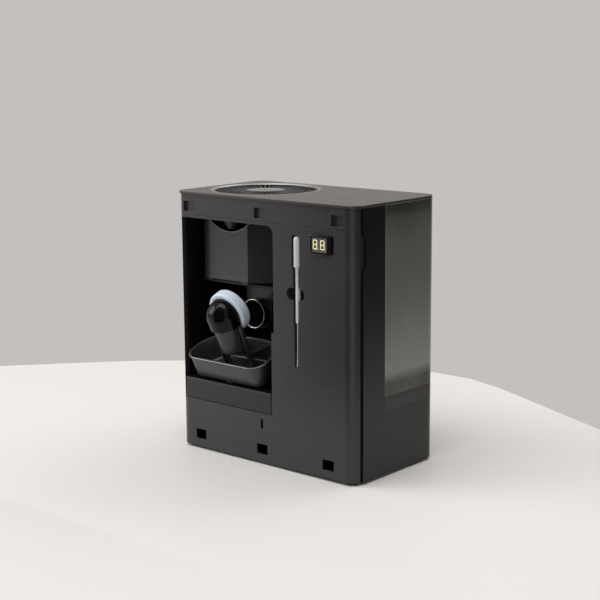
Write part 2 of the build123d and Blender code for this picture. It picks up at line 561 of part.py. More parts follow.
def make_boiler():
    """Boiling pan with the steam elbow that stands in it."""
    pan = loft([pan_plan(0, 0), pan_plan(PAN_HEIGHT, 0)])
    lip = extrude(pan_plan(PAN_HEIGHT, -1.4), amount=-2.0)
    pan += lip
    pan -= loft([pan_plan(PAN_WALL, PAN_WALL), pan_plan(PAN_HEIGHT + 1, PAN_WALL)])
    add("boiling_pan", tipped(pan))

    tube_y = TIP_Y + TUBE_SETBACK
    plane_y = (tube_y - 0.8, tube_y + 1.2)
    leg_z = (TIP_Z + PAN_WALL + GAP, TIP_Z + SHELL_HEIGHT)
    half = FLANGE_WIDTH / 2
    flange = block((BOILER_X - half, BOILER_X + half), plane_y, leg_z)
    bore = (BOILER_X - TUBE_RADIUS + TUBE_WALL, BOILER_X + TUBE_RADIUS - TUBE_WALL)
    flange -= block(bore, (FRONT, BACK), (0, TIP_Z + 33))
    for side in (-1, 1):
        edge = BOILER_X + side * (half - 1)
        flange += block((edge - 1, edge + 1), (plane_y[0] - 2.5, plane_y[0]), leg_z)
    add("elbow_flange", tipped(flange))

    tube_z = (TIP_Z + 34, leg_z[1])
    shell = disc(TUBE_RADIUS, BOILER_X, tube_y, tube_z)
    shell -= disc(TUBE_RADIUS - TUBE_WALL, BOILER_X, tube_y, (0, HEIGHT))
    add("elbow_shell", tipped(shell & block((LEFT, RIGHT), (FRONT, plane_y[0]), tube_z)))

    wedge = Polyline((BOILER_X - 25, plane_y[1] + 0.1), (BOILER_X + 25, plane_y[1] + 0.1),
                     (BOILER_X + 46, TIP_Y + 62), (BOILER_X - 46, TIP_Y + 62), close=True)
    cover = extrude(pan_plan(26, PAN_WALL + 0.8), amount=1.8)
    cover &= extrude(make_face(wedge), amount=HEIGHT)
    add("splash_cover", tipped(cover))

    head_z = TIP_Z + PORT_RISE
    joint_y = tube_y + 9
    seal_y = (TIP_Y + PORT_SETBACK - GAP - SEAL_LENGTH, TIP_Y + PORT_SETBACK - GAP)
    middle = Pos(BOILER_X, tube_y, head_z)
    head = disc(HEAD_RADIUS, BOILER_X, tube_y, (leg_z[1], head_z)) + middle * Sphere(HEAD_RADIUS)
    head &= block((LEFT, RIGHT), (FRONT - DEPTH, seal_y[0] - 0.1), (leg_z[1], HEIGHT))
    head += barrel(SPIGOT_RADIUS, BOILER_X, head_z, (plane_y[1] + 0.1, joint_y))
    head -= disc(TUBE_RADIUS - TUBE_WALL, BOILER_X, tube_y, (leg_z[1] - 1, head_z))
    head -= middle * Sphere(SPIGOT_RADIUS - TUBE_WALL - 0.5)
    head -= barrel(SPIGOT_RADIUS - TUBE_WALL, BOILER_X, head_z, (tube_y + 2, joint_y + 1))
    add("elbow_head", tipped(head))

    seal = barrel(SEAL_RADIUS, BOILER_X, head_z, seal_y)
    seal = fillet(seal.edges().filter_by(GeomType.CIRCLE), 2.6)
    seal -= barrel(PORT_RADIUS - 1.1, BOILER_X, head_z, (seal_y[0] - 1, seal_y[1] + 1))
    seal -= barrel(SPIGOT_RADIUS + 0.1, BOILER_X, head_z, (seal_y[0] - 1, joint_y + 0.1))
    add("seal_ring", tipped(seal))


# ---------------------------------------------------------------- pipette and display
def pipette_side(room):
    """Right-hand outline of the pipette as radius and height, widened by some room."""
    low, top = PIPETTE_BOTTOM, PIPETTE_BOTTOM + PIPETTE_LENGTH
    tip, stem, bulb = TIP_RADIUS + room, STEM_RADIUS + room, BULB_RADIUS + room
    below = GAP if room else 0
    return [(0, low - below), (tip, low - below), (tip + 0.8, low + 50), (stem, low + 54), (stem, top - 41),
            (bulb, top - 34), (bulb, top - 3 + room / 2), (bulb * 0.6, top + room), (0, top + room)]


def pipette_solid(room):
    """The pipette turned about its own axis."""
    outline = Polyline(*[(r, z) for r, z in pipette_side(room)], close=True)
    return Pos(PIPETTE_X, PIPETTE_Y, 0) * revolve(Plane.XZ * make_face(outline), Axis.Z)


def pipette_room():
    """The recess that the pipette lies in, open to the front."""
    right = [(PIPETTE_X + r, z) for r, z in pipette_side(PIPETTE_ROOM)]
    left = [(PIPETTE_X - r, z) for r, z in reversed(pipette_side(PIPETTE_ROOM)[1:-1])]
    shape = make_face(Polyline(*right, *left, close=True))
    return front_slab(shape, (FRONT - 2, PIPETTE_Y)) + pipette_solid(PIPETTE_ROOM)


def finger_room():
    """Oval finger recess across the pipette."""
    level = PIPETTE_BOTTOM + 85.3
    shape = Pos(PIPETTE_X - 0.5, level) * SlotOverall(27, 14.5)
    return front_slab(shape, (FRONT - 2, FRONT + 10.5))


def make_pipette():
    """Stored pipette and the well behind the front panel."""
    body = pipette_solid(0)
    body = fillet(body.edges().filter_by(GeomType.CIRCLE).group_by(Axis.Z)[-1], 1.8)
    add("pipette", body)

    well_z = (PIPETTE_BOTTOM - 4, PIPETTE_BOTTOM + PIPETTE_LENGTH + 3)
    face = FRONT + COVER_INSET + FRONT_WALL
    well = block((PIPETTE_X - 15.5, PIPETTE_X + 14.2), (face, FRONT + 13), well_z)
    add("pipette_well", well - pipette_room() - finger_room())


def digit(x):
    """A seven-segment figure eight with its point, drawn in X and Z."""
    w, h, t = DIGIT_WIDTH, DIGIT_HEIGHT, DIGIT_LINE
    bars = Sketch()
    for level in (0, h / 2 - t / 2, h - t):
        bars += Pos(x, DISPLAY_Z - h / 2 + level + t / 2) * Rectangle(w - 2 * t - 0.3, t)
    for side in (-1, 1):
        for level in (-1, 1):
            spot = Pos(x + side * (w - t) / 2, DISPLAY_Z + level * (h / 4))
            bars += spot * Rectangle(t, h / 2 - 0.4)
    return bars + Pos(x + w / 2 + 1.0, DISPLAY_Z - h / 2 + 0.8) * Circle(0.8)


def make_display():
    """Bezel, window, lit figures and the control board behind them."""
    face = FRONT + COVER_INSET
    x = (DISPLAY_X - DISPLAY_WIDTH / 2, DISPLAY_X + DISPLAY_WIDTH / 2)
    z = (DISPLAY_Z - DISPLAY_HEIGHT / 2, DISPLAY_Z + DISPLAY_HEIGHT / 2)
    bezel = block(x, (face - 0.6, face + 5), z)
    bezel = chamfer(bezel.faces().sort_by(Axis.Y)[0].edges(), 0.5)
    window_x = (x[0] + 2.2, x[1] - 3.4)
    window_z = (z[0] + 2.2, z[1] - 2.2)
    bezel -= block(window_x, (face - 2, face + 6), window_z)
    add("display_bezel", bezel)
    add("display_window", block(window_x, (face + 0.8, face + 5), window_z))
    middle = (window_x[0] + window_x[1]) / 2
    figures = digit(middle - 6.2) + digit(middle + 4.8)
    add("display_digits", front_slab(figures, (face + 0.5, face + 0.8)))

    board_y = (FRONT + 15, FRONT + 16.6)
    board = block((DISPLAY_X - 25, DISPLAY_X + 27), board_y, (PIPETTE_BOTTOM + 20, BAND_SEAM - 4))
    board += block(x, (face + 5, board_y[0]), z)
    for place_x in (DISPLAY_X - 20.5, DISPLAY_X + 22.5):
        for level in (PIPETTE_BOTTOM + 24, BAND_SEAM - 40):
            board += barrel(2.5, place_x, level, (face + FRONT_WALL, board_y[0]))
    for step in range(4):
        level = PIPETTE_BOTTOM + 36 + 18 * step
        board += block((DISPLAY_X - 12, DISPLAY_X + 6), (board_y[1], board_y[1] + 3), (level, level + 10))
    add("control_board", board)


# ---------------------------------------------------------------- water tank
def corner_block(inset, z, room=0.0):
    """The tank corner's footprint, drawn in by an inset, between two levels."""
    low_x = TANK_LEFT + inset + room
    low_y = TANK_FRONT + inset + room
    return footprint(inset, z) & block((low_x, RIGHT), (low_y, BACK), z)


def make_tank():
    """Lift-out water tank with its seat, valve and lift-off lid."""
    seat_top = SEAT_BOTTOM + SEAT_HEIGHT
    seat = corner_block(0, (SEAT_BOTTOM, seat_top))
    seat -= disc(NECK_RADIUS + 1, VALVE_X, VALVE_Y, (SEAT_BOTTOM + 4, seat_top + 1))
    add("tank_seat", seat)

    base_z = (seat_top + GAP, seat_top + TANK_BASE_HEIGHT)
    base = corner_block(0, base_z) + corner_block(TANK_WALL + 0.1, (base_z[1], base_z[1] + 3))
    base += disc(NECK_RADIUS, VALVE_X, VALVE_Y, (SEAT_BOTTOM + 5, base_z[1]))
    base -= disc(VALVE_RADIUS + 0.1, VALVE_X, VALVE_Y, (0, HEIGHT))
    add("tank_base", base)

    lid_under = TOP_UNDER
    body_z = (base_z[1], lid_under - GAP)
    body = corner_block(0, body_z) - corner_block(TANK_WALL, (body_z[0] - 1, body_z[1] + 1))
    add("tank_body", body)

    stem_z = (SEAT_BOTTOM + 4 + GAP, base_z[1] + 3 + GAP)
    valve = disc(VALVE_RADIUS, VALVE_X, VALVE_Y, stem_z)
    valve += disc(VALVE_RADIUS + 4, VALVE_X, VALVE_Y, (stem_z[1], stem_z[1] + 2))
    add("tank_valve", valve)

    lid = corner_block(0, (lid_under, HEIGHT))
    skirt_z = (lid_under - 6, lid_under)
    lid += corner_block(TANK_WALL + 0.5, skirt_z)
    lid -= corner_block(TANK_WALL + 2.3, (skirt_z[0] - 1, skirt_z[1]))
    edges = lid.faces().sort_by(Axis.Z)[-1].edges()
    outside = [e for e in edges if e.center().X > RIGHT - 8 or e.center().Y > BACK - 8]
    add("tank_lid", chamfer(outside, 0.5))

    clips = Part()
    inner = RIGHT - TANK_WALL - 2.3
    for y in (TANK_FRONT + 30, TANK_FRONT + 60):
        clips += block((inner - 3, inner), (y - 6, y + 6), (lid_under - 12, lid_under - 0.1))
    add("lid_clips", clips)


def make_divider():
    """Dividing walls beside and in front of the tank."""
    z = (BASE_TOP, TOP_UNDER)
    right = TANK_LEFT - SEAM
    front = TANK_FRONT - SEAM
    wall = block((right - DIVIDER, right), (front - DIVIDER, BACK - SHELL_WALL), z)
    wall += block((right - DIVIDER, RIGHT - SHELL_WALL), (front - DIVIDER, front), z)
    add("tank_divider", wall)


# ---------------------------------------------------------------- water and power
def make_services():
    """Pump, feed tube, power board and mains inlet in the base."""
    pump_top = BASE_TOP + 40
    pump = block((VALVE_X - 20, VALVE_X + 20), (VALVE_Y - 16, VALVE_Y + 16), (BASE_TOP, pump_top - 8))
    pump += disc(14, VALVE_X, VALVE_Y, (pump_top - 8, pump_top))
    add("feed_pump", pump)
    tube = disc(4, VALVE_X, VALVE_Y, (pump_top, SEAT_BOTTOM)) - disc(2.6, VALVE_X, VALVE_Y, (0, HEIGHT))
    add("feed_tube", tube)

    board_y = (BAY_BACK + 6, BACK - 26)
    board = block((INLET_X - 30, INLET_X + 62), board_y, (BASE_TOP + 5, BASE_TOP + 6.6))
    for x in (INLET_X - 26, INLET_X + 58):
        for y in (board_y[0] + 3, board_y[1] - 3):
            board += disc(2.4, x, y, (BASE_TOP, BASE_TOP + 5))
    for step in range(3):
        x = INLET_X - 14 + 26 * step
        board += disc(4.5, x, (board_y[0] + board_y[1]) / 2, (BASE_TOP + 6.6, BASE_TOP + 24))
    add("power_board", board)

    x = (INLET_X - INLET_WIDTH / 2 + 0.1, INLET_X + INLET_WIDTH / 2 - 0.1)
    z = (INLET_Z - INLET_HEIGHT / 2 + 0.1, INLET_Z + INLET_HEIGHT / 2 - 0.1)
    inlet = block(x, (BACK - 22, BACK - 0.2), z)
    well = rounded_block((x[0] + 4, x[1] - 4), (z[0] + 4.5, z[1] - 4.5), (0, 16), 4)
    inlet -= Pos(0, BACK, 0) * Rot(X=90) * well
    for side in (-1, 1):
        inlet += barrel(1.2, INLET_X + 4 * side, INLET_Z, (BACK - 16.5, BACK - 4))
    add("power_inlet", inlet)


def build():
    """Make every piece and write one STEP file for each."""
    make_base()
    make_shells()
    make_front()
    make_top()
    make_fan()
    make_condenser()
    make_bay()
    make_cup()
    make_tray()
    make_boiler()
    make_pipette()
    make_display()
    make_tank()
    make_divider()
    make_services()
    os.makedirs("parts", exist_ok=True)
    for name, shape in PARTS.items():
        export_step(shape, f"parts/{name}.step")
    print(len(PARTS), "nodes")


build()
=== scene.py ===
"""Looks, light and camera for a countertop distiller with its front cover off.

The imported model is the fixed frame. Each sub-assembly is a class that dresses its CAD nodes with
node-based finishes and adds the fine pieces that the frame leaves out.
"""
import logging
import math
from dataclasses import dataclass
from enum import Enum
from typing import Any, Callable, Iterable, Sequence
import bmesh
import bpy
from mathutils import Matrix, Vector


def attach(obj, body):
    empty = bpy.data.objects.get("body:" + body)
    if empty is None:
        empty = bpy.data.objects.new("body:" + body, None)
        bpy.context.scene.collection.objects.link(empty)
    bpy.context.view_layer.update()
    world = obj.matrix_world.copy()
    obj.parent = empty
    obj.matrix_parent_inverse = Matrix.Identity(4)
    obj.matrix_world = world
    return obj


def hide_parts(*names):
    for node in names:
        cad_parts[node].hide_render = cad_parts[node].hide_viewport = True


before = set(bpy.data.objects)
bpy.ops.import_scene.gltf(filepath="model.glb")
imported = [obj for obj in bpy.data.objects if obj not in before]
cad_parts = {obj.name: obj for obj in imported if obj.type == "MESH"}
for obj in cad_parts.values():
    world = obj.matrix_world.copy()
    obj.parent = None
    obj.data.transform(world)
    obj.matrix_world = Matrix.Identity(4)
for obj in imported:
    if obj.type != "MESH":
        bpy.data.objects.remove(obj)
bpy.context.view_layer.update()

log = logging.getLogger("distiller")

MM = 0.001
# Edges that turn by more than this are drawn sharp.
SHARP = math.radians(40)
# Ends each finish's name, so that it never meets one of the frame's own materials.
FINISH = "_finish"
# Where the edge mask starts and where it is full, as 1 less the cosine of the turn.
EDGE_TURN = (0.01, 0.22)
Colour = tuple[float, float, float, float]
Point = tuple[float, float, float]


def shade(red: float, green: float, blue: float) -> Colour:
    """Turn a screen colour from 0 to 255 into scene-linear light.

    Args:
        red: Red level.
        green: Green level.
        blue: Blue level.

    Returns:
        The linear colour with full alpha.
    """
    def one(level: float) -> float:
        """Decode one channel."""
        part = level / 255
        return part / 12.92 if part <= 0.04045 else ((part + 0.055) / 1.055) ** 2.4

    return one(red), one(green), one(blue), 1.0


def scaled(colour: Colour, factor: float) -> Colour:
    """Return the colour made lighter or darker by a factor."""
    return tuple(min(1.0, part * factor) for part in colour[:3]) + (colour[3],)


# ---- shader values
class Wire:
    """A shader socket that adds Math nodes when it is used in an expression."""

    def __init__(self, graph: "Graph", socket: bpy.types.NodeSocket) -> None:
        """Wrap a socket of a graph's node."""
        self.graph = graph
        self.socket = socket

    def math(self, operation: str, *values: Any) -> "Wire":
        """Add one Math node.

        Args:
            operation: The Math node's operation.
            values: Numbers or wires for its inputs, in order.

        Returns:
            The node's result.
        """
        return self.graph.node("ShaderNodeMath", {"operation": operation}, dict(enumerate(values)))

    def __add__(self, other: Any) -> "Wire":
        """Sum of this value and another."""
        return self.math("ADD", self, other)

    __radd__ = __add__

    def __sub__(self, other: Any) -> "Wire":
        """This value less another."""
        return self.math("SUBTRACT", self, other)

    def __rsub__(self, other: Any) -> "Wire":
        """Another value less this one."""
        return self.math("SUBTRACT", other, self)

    def __mul__(self, other: Any) -> "Wire":
        """Product of this value and another."""
        return self.math("MULTIPLY", self, other)

    __rmul__ = __mul__

    def ramp(self, low: float, high: float) -> "Wire":
        """Rise from 0 at low to 1 at high, and stay within those limits."""
        inputs = {0: self, 1: low, 2: high, 3: 0.0, 4: 1.0}
        return self.graph.node("ShaderNodeMapRange", {"clamp": True}, inputs)


class Graph:
    """The node tree of one material."""

    def __init__(self, name: str) -> None:
        """Start an empty material and keep its object coordinates.

        Args:
            name: The finish's name.
        """
        self.material = bpy.data.materials.new(name + FINISH)
        self.material.use_nodes = True
        self.tree = self.material.node_tree
        self.tree.nodes.clear()
        self.place = self.node("ShaderNodeTexCoord", output="Object")

    def node(self, kind: str, settings: dict[str, Any] | None = None,
             inputs: dict[Any, Any] | None = None, output: Any = 0) -> Wire:
        """Add a node of any type.

        Args:
            kind: The node's type name.
            settings: Properties, set first. The stops of a ramp are position and colour pairs.
            inputs: Values or wires by input name or number.
            output: Name or number of the output wanted.

        Returns:
            That output.
        """
        made = self.tree.nodes.new(kind)
        for key, value in (settings or {}).items():
            if key == "stops":
                self._set_stops(made, value)
            else:
                setattr(made, key, value)
        for key, value in (inputs or {}).items():
            if isinstance(value, Wire):
                self.tree.links.new(value.socket, made.inputs[key])
            else:
                made.inputs[key].default_value = value
        outputs = made.outputs
        return Wire(self, outputs[output]) if len(outputs) else Wire(self, made.inputs[0])

    @staticmethod
    def _set_stops(made: bpy.types.Node, stops: Sequence[tuple[float, Colour]]) -> None:
        """Give a Color Ramp node its stops.

        Args:
            made: The node.
            stops: Position and colour pairs, in order.
        """
        elements = made.color_ramp.elements
        while len(elements) < len(stops):
            elements.new(0.5)
        for element, (position, colour) in zip(elements, stops):
            element.position = position
            element.color = colour

    def noise(self, scale: float, detail: float = 3.0, vector: Wire | None = None) -> Wire:
        """Fractal noise from 0 to 1, with the scale in features per metre."""
        inputs = {"Vector": vector or self.place, "Scale": scale, "Detail": detail}
        return self.node("ShaderNodeTexNoise", None, inputs)

    def cells(self, scale: float) -> Wire:
        """Distance to the nearest of many scattered points."""
        return self.node("ShaderNodeTexVoronoi", None, {"Vector": self.place, "Scale": scale})

    def stretched(self, factors: Point) -> Wire:
        """Object coordinates, stretched along each axis."""
        return self.node("ShaderNodeMapping", None, {"Vector": self.place, "Scale": factors})

    def axis(self, index: int) -> Wire:
        """One object coordinate, in metres."""
        return self.node("ShaderNodeSeparateXYZ", None, {0: self.place}, index)

    def tint(self, factor: Any, first: Any, second: Any) -> Wire:
        """A colour between two others."""
        inputs = {0: factor, 6: first, 7: second}
        return self.node("ShaderNodeMix", {"data_type": "RGBA"}, inputs, 2)

    def soft_edge(self, radius: float) -> Wire:
        """The normal as if each sharp edge had a small radius."""
        return self.node("ShaderNodeBevel", {"samples": 4}, {"Radius": radius})

    def vector(self, operation: str, *values: Any, output: int = 0) -> Wire:
        """Add one Vector Math node, whose output 1 is a number."""
        inputs = dict(enumerate(values))
        return self.node("ShaderNodeVectorMath", {"operation": operation}, inputs, output)

    def edge_mask(self, rounded: Wire) -> Wire:
        """A mask that is 1 where the rounded normal turns well away from the flat one."""
        flat = self.node("ShaderNodeNewGeometry", output="Normal")
        return (1 - self.vector("DOT_PRODUCT", rounded, flat, output=1)).ramp(*EDGE_TURN)

    def bump(self, height: Wire, depth: float, normal: Wire | None = None) -> Wire:
        """Relief from a height.

        Args:
            height: The height, from 0 to about 1.
            depth: What a height of 1 stands for, in metres.
            normal: The normal to start from, or nothing for the surface's own.

        Returns:
            The new normal.
        """
        inputs = {"Height": height, "Distance": depth}
        if normal is not None:
            inputs["Normal"] = normal
        return self.node("ShaderNodeBump", None, inputs)

    def finish(self, **inputs: Any) -> bpy.types.Material:
        """Close the graph with one Principled surface.

        Args:
            inputs: The surface's inputs, with underscores for spaces.

        Returns:
            The material.
        """
        named = {key.replace("_", " "): value for key, value in inputs.items()}
        surface = self.node("ShaderNodeBsdfPrincipled", None, named)
        self.node("ShaderNodeOutputMaterial", None, {"Surface": surface})
        return self.material


# ---- finishes
@dataclass(frozen=True)
class Moulded:
    """Moulded plastic with a fine spark-eroded grain and a painted highlight along its edges."""

    name: str
    colour: Colour
    roughness: float
    grain: float = 900.0
    depth: float = 0.000012
    drift: float = 0.10
    # How much lighter the edges are painted: a painted highlight.
    edge: float = 1.5
    radius: float = 0.0007

    def build(self) -> bpy.types.Material:
        """Make the material.

        Returns:
            The material.
        """
        graph = Graph(self.name)
        broad = graph.noise(9.0, 2.0)
        cloud = graph.noise(60.0, 4.0)
        rounded = graph.soft_edge(self.radius)
        edge = graph.edge_mask(rounded)
        low, high = scaled(self.colour, 1 - self.drift), scaled(self.colour, 1 + self.drift)
        body = graph.tint(broad.ramp(0.3, 0.7), low, high)
        speck = graph.noise(self.grain * 1.7, 1.0).ramp(0.62, 0.75)
        body = graph.tint(speck * 0.35, body, scaled(self.colour, 1.45))
        # Painted highlight: the edges are tinted lighter by the edge factor.
        body = graph.tint(edge * 0.6, body, scaled(self.colour, self.edge))
        rough = self.roughness + (cloud - 0.5) * 0.10 + (broad - 0.5) * 0.06 - edge * 0.05
        relief = graph.noise(self.grain, 2.0) + graph.cells(self.grain * 0.8) * 0.5
        normal = graph.bump(relief, self.depth, rounded)
        return graph.finish(Base_Color=body, Roughness=rough, Normal=normal, IOR=1.46)


@dataclass(frozen=True)
class Gloss:
    """Polished plastic with faint swirls, dust and a painted highlight along its edges."""

    name: str
    colour: Colour
    roughness: float
    dust: float = 0.25
    radius: float = 0.0006
    depth: float = 0.00004
    specular: float = 0.5
    coat: float = 0.4

    def build(self) -> bpy.types.Material:
        """Make the material.

        Returns:
            The material.
        """
        graph = Graph(self.name)
        rounded = graph.soft_edge(self.radius)
        edge = graph.edge_mask(rounded)
        smear = graph.noise(55.0, 5.0, graph.stretched((1.0, 1.0, 3.0)))
        dust = graph.noise(1500.0, 1.0).ramp(0.68, 0.74) * self.dust
        # Painted highlight: the edges are tinted lighter.
        body = graph.tint(edge * 0.5, self.colour, scaled(self.colour, 1.8))
        body = graph.tint(dust, body, scaled(self.colour, 3.0))
        rough = self.roughness + smear.ramp(0.45, 0.75) * 0.10 + dust * 0.3
        normal = graph.bump(graph.noise(120.0, 2.0), self.depth, rounded)
        return graph.finish(Base_Color=body, Roughness=rough, Normal=normal, IOR=1.5,
                            Specular_IOR_Level=self.specular, Coat_Weight=self.coat,
                            Coat_Roughness=0.06)


@dataclass(frozen=True)
class Coated:
    """Metal with a sprayed non-stick coating, worn bright on its edges."""

    name: str
    colour: Colour
    bare: Colour
    roughness: float
    wear: float
    radius: float = 0.0008
    depth: float = 0.00001

    def build(self) -> bpy.types.Material:
        """Make the material.

        Returns:
            The material.
        """
        graph = Graph(self.name)
        rounded = graph.soft_edge(self.radius)
        edge = graph.edge_mask(rounded)
        spray = graph.noise(1400.0, 2.0)
        broad = graph.noise(16.0, 3.0)
        chips = (edge * graph.noise(160.0, 3.0).ramp(0.42, 0.62)) * self.wear
        body = graph.tint(broad, scaled(self.colour, 0.9), scaled(self.colour, 1.12))
        body = graph.tint(spray.ramp(0.66, 0.72) * 0.5, body, scaled(self.colour, 1.9))
        body = graph.tint(chips, body, self.bare)
        scuff = graph.noise(260.0, 3.0, graph.stretched((0.25, 1.0, 1.0)))
        rough = self.roughness + (scuff - 0.5) * 0.16 - chips * 0.1
        normal = graph.bump(spray + scuff * 0.4, self.depth, rounded)
        return graph.finish(Base_Color=body, Roughness=rough, Normal=normal, Metallic=chips * 0.9,
                            IOR=1.5)


@dataclass(frozen=True)
class Metal:
    """Bare metal with a fine turned or brushed lay."""

    name: str
    colour: Colour
    roughness: float
    lay: Point = (1.0, 1.0, 30.0)
    depth: float = 0.00002
    radius: float = 0.0005

    def build(self) -> bpy.types.Material:
        """Make the material.

        Returns:
            The material.
        """
        graph = Graph(self.name)
        lines = graph.noise(700.0, 3.0, graph.stretched(self.lay))
        patch = graph.noise(40.0, 3.0)
        body = graph.tint(lines, scaled(self.colour, 0.85), scaled(self.colour, 1.1))
        rough = self.roughness + (lines - 0.5) * 0.16 + patch.ramp(0.55, 0.8) * 0.08
        normal = graph.bump(lines, self.depth, graph.soft_edge(self.radius))
        return graph.finish(Base_Color=body, Roughness=rough, Normal=normal, Metallic=1.0)


@dataclass(frozen=True)
class Turned:
    """Metal ring turned about an upright axis, with its lay running round."""

    name: str
    colour: Colour
    centre: Point
    roughness: float
    depth: float = 0.00002
    radius: float = 0.0005

    def build(self) -> bpy.types.Material:
        """Make the material.

        Returns:
            The material.
        """
        graph = Graph(self.name)
        moved = graph.vector("SUBTRACT", graph.place, self.centre)
        flat = graph.vector("MULTIPLY", moved, (1, 1, 0))
        radius = graph.vector("LENGTH", flat, output=1)
        outward = graph.node("ShaderNodeCombineXYZ", None, {0: radius})
        lines = graph.noise(2600.0, 2.0, outward)
        patch = graph.noise(30.0, 3.0)
        body = graph.tint(lines, scaled(self.colour, 0.88), scaled(self.colour, 1.08))
        rough = self.roughness + (lines - 0.5) * 0.14 + (patch - 0.5) * 0.08
        normal = graph.bump(lines, self.depth, graph.soft_edge(self.radius))
        return graph.finish(Base_Color=body, Roughness=rough, Normal=normal, Metallic=1.0)


@dataclass(frozen=True)
class Silicone:
    """Soft moulded silicone rubber with a dusty bloom."""

    name: str
    colour: Colour
    roughness: float = 0.5
    depth: float = 0.00004
    radius: float = 0.0008

    def build(self) -> bpy.types.Material:
        """Make the material.

        Returns:
            The material.
        """
        graph = Graph(self.name)
        bloom = graph.noise(70.0, 4.0)
        lint = graph.noise(1100.0, 1.0).ramp(0.68, 0.76)
        body = graph.tint(bloom, scaled(self.colour, 0.93), scaled(self.colour, 1.06))
        body = graph.tint(lint * 0.3, body, scaled(self.colour, 1.25))
        rough = self.roughness + (bloom - 0.5) * 0.15
        normal = graph.bump(graph.noise(900.0, 2.0), self.depth, graph.soft_edge(self.radius))
        return graph.finish(Base_Color=body, Roughness=rough, Normal=normal,
                            Subsurface_Weight=0.15, Subsurface_Radius=(0.6, 0.7, 0.8),
                            Subsurface_Scale=0.004, IOR=1.41)


@dataclass(frozen=True)
class Milky:
    """Milky soft polyethylene that lets some light through."""

    name: str
    colour: Colour
    depth: float = 0.00003

    def build(self) -> bpy.types.Material:
        """Make the material.

        Returns:
            The material.
        """
        graph = Graph(self.name)
        flow = graph.noise(90.0, 3.0, graph.stretched((1.0, 1.0, 0.2)))
        body = graph.tint(flow, scaled(self.colour, 0.9), scaled(self.colour, 1.08))
        rough = 0.2 + (graph.noise(300.0, 3.0) - 0.5) * 0.14
        normal = graph.bump(graph.noise(260.0, 2.0), self.depth)
        return graph.finish(Base_Color=body, Roughness=rough, Normal=normal,
                            Alpha=0.78 + flow * 0.16, IOR=1.51, Coat_Weight=0.5,
                            Coat_Roughness=0.08)


@dataclass(frozen=True)
class Smoked:
    """Smoked tank plastic; painted shade darkens it over its floor and under its lid, and edges get
    a painted highlight.
    """

    name: str
    stops: tuple[tuple[float, Colour], ...]
    span: tuple[float, float]
    depth: float = 0.00003
    radius: float = 0.0009

    def build(self) -> bpy.types.Material:
        """Make the material.

        Returns:
            The material.
        """
        graph = Graph(self.name)
        haze = graph.noise(14.0, 4.0, graph.stretched((1.0, 1.0, 0.5)))
        drops = graph.noise(500.0, 2.0).ramp(0.64, 0.7)
        wavy = graph.axis(2) + (graph.noise(22.0, 2.0) - 0.5) * 0.006
        height = wavy.ramp(*self.span)
        # Painted shade: the colour follows the tank's painted shade by height.
        body = graph.node("ShaderNodeValToRGB", {"stops": self.stops}, {0: height})
        rounded = graph.soft_edge(self.radius)
        edge = graph.edge_mask(rounded)
        body = graph.tint(haze.ramp(0.35, 0.75) * 0.12, body, shade(150, 153, 146))
        # Painted highlight: the edges are tinted pale.
        body = graph.tint(edge * 0.55, body, shade(190, 192, 186))
        rough = 0.18 + haze * 0.08 + drops * 0.05
        normal = graph.bump(graph.noise(240.0, 2.0), self.depth, rounded)
        alpha = 0.84 + (1 - height) * 0.04 + haze * 0.06
        return graph.finish(Base_Color=body, Roughness=rough, Normal=normal, Alpha=alpha, IOR=1.49)


@dataclass(frozen=True)
class Rubber:
    """Black foam rubber of the standing mat."""

    name: str
    colour: Colour
    depth: float = 0.00015

    def build(self) -> bpy.types.Material:
        """Make the material.

        Returns:
            The material.
        """
        graph = Graph(self.name)
        pores = graph.cells(1200.0)
        body = graph.tint(pores, scaled(self.colour, 0.6), scaled(self.colour, 1.3))
        rough = 0.8 + (pores - 0.5) * 0.1
        normal = graph.bump(pores + graph.noise(500.0, 3.0), self.depth)
        return graph.finish(Base_Color=body, Roughness=rough, Normal=normal)


@dataclass(frozen=True)
class Glow:
    """A lit figure behind a diffuser, with slightly uneven light."""

    name: str
    colour: Colour
    power: float

    def build(self) -> bpy.types.Material:
        """Make the material.

        Returns:
            The material.
        """
        graph = Graph(self.name)
        patch = graph.noise(800.0, 2.0)
        light = graph.tint(patch, scaled(self.colour, 0.85), scaled(self.colour, 1.1))
        return graph.finish(Base_Color=light, Roughness=0.3 + patch * 0.1, Emission_Color=light,
                            Emission_Strength=self.power)


@dataclass(frozen=True)
class Board:
    """Green printed circuit board with copper tracks under its lacquer."""

    name: str
    depth: float = 0.00005

    def build(self) -> bpy.types.Material:
        """Make the material.

        Returns:
            The material.
        """
        graph = Graph(self.name)
        black, white = (0, 0, 0, 1), (1, 1, 1, 1)
        bricks = {"Vector": graph.place, "Scale": 120.0, "Color1": black, "Color2": black,
                  "Mortar": white, "Mortar Size": 0.03}
        lanes = graph.node("ShaderNodeTexBrick", None, bricks, 1)
        body = graph.tint(lanes, shade(20, 70, 40), shade(60, 120, 70))
        rough = 0.3 + graph.noise(200.0) * 0.2
        normal = graph.bump(lanes, self.depth)
        return graph.finish(Base_Color=body, Roughness=rough, Normal=normal)


# Middle of the fan, on the floor under it.
FAN_CENTRE = (-0.062, 0.002, 0.0)
# The tank's foot and top, in metres, and its painted shade from one to the other.
TANK_SPAN = (0.092, 0.3165)
# Painted shade: dark over the floor, lightest just above it, and darkest under the lid, which its
# skirt and clips shade.
TANK_PAINTED_SHADE = (
    (0.0, shade(52, 50, 47)), (0.075, shade(50, 50, 47)), (0.135, shade(118, 123, 115)),
    (0.5, shade(99, 103, 97)), (0.82, shade(84, 87, 82)), (0.93, shade(68, 70, 67)),
    (0.965, shade(40, 41, 39)), (1.0, shade(32, 33, 32)))


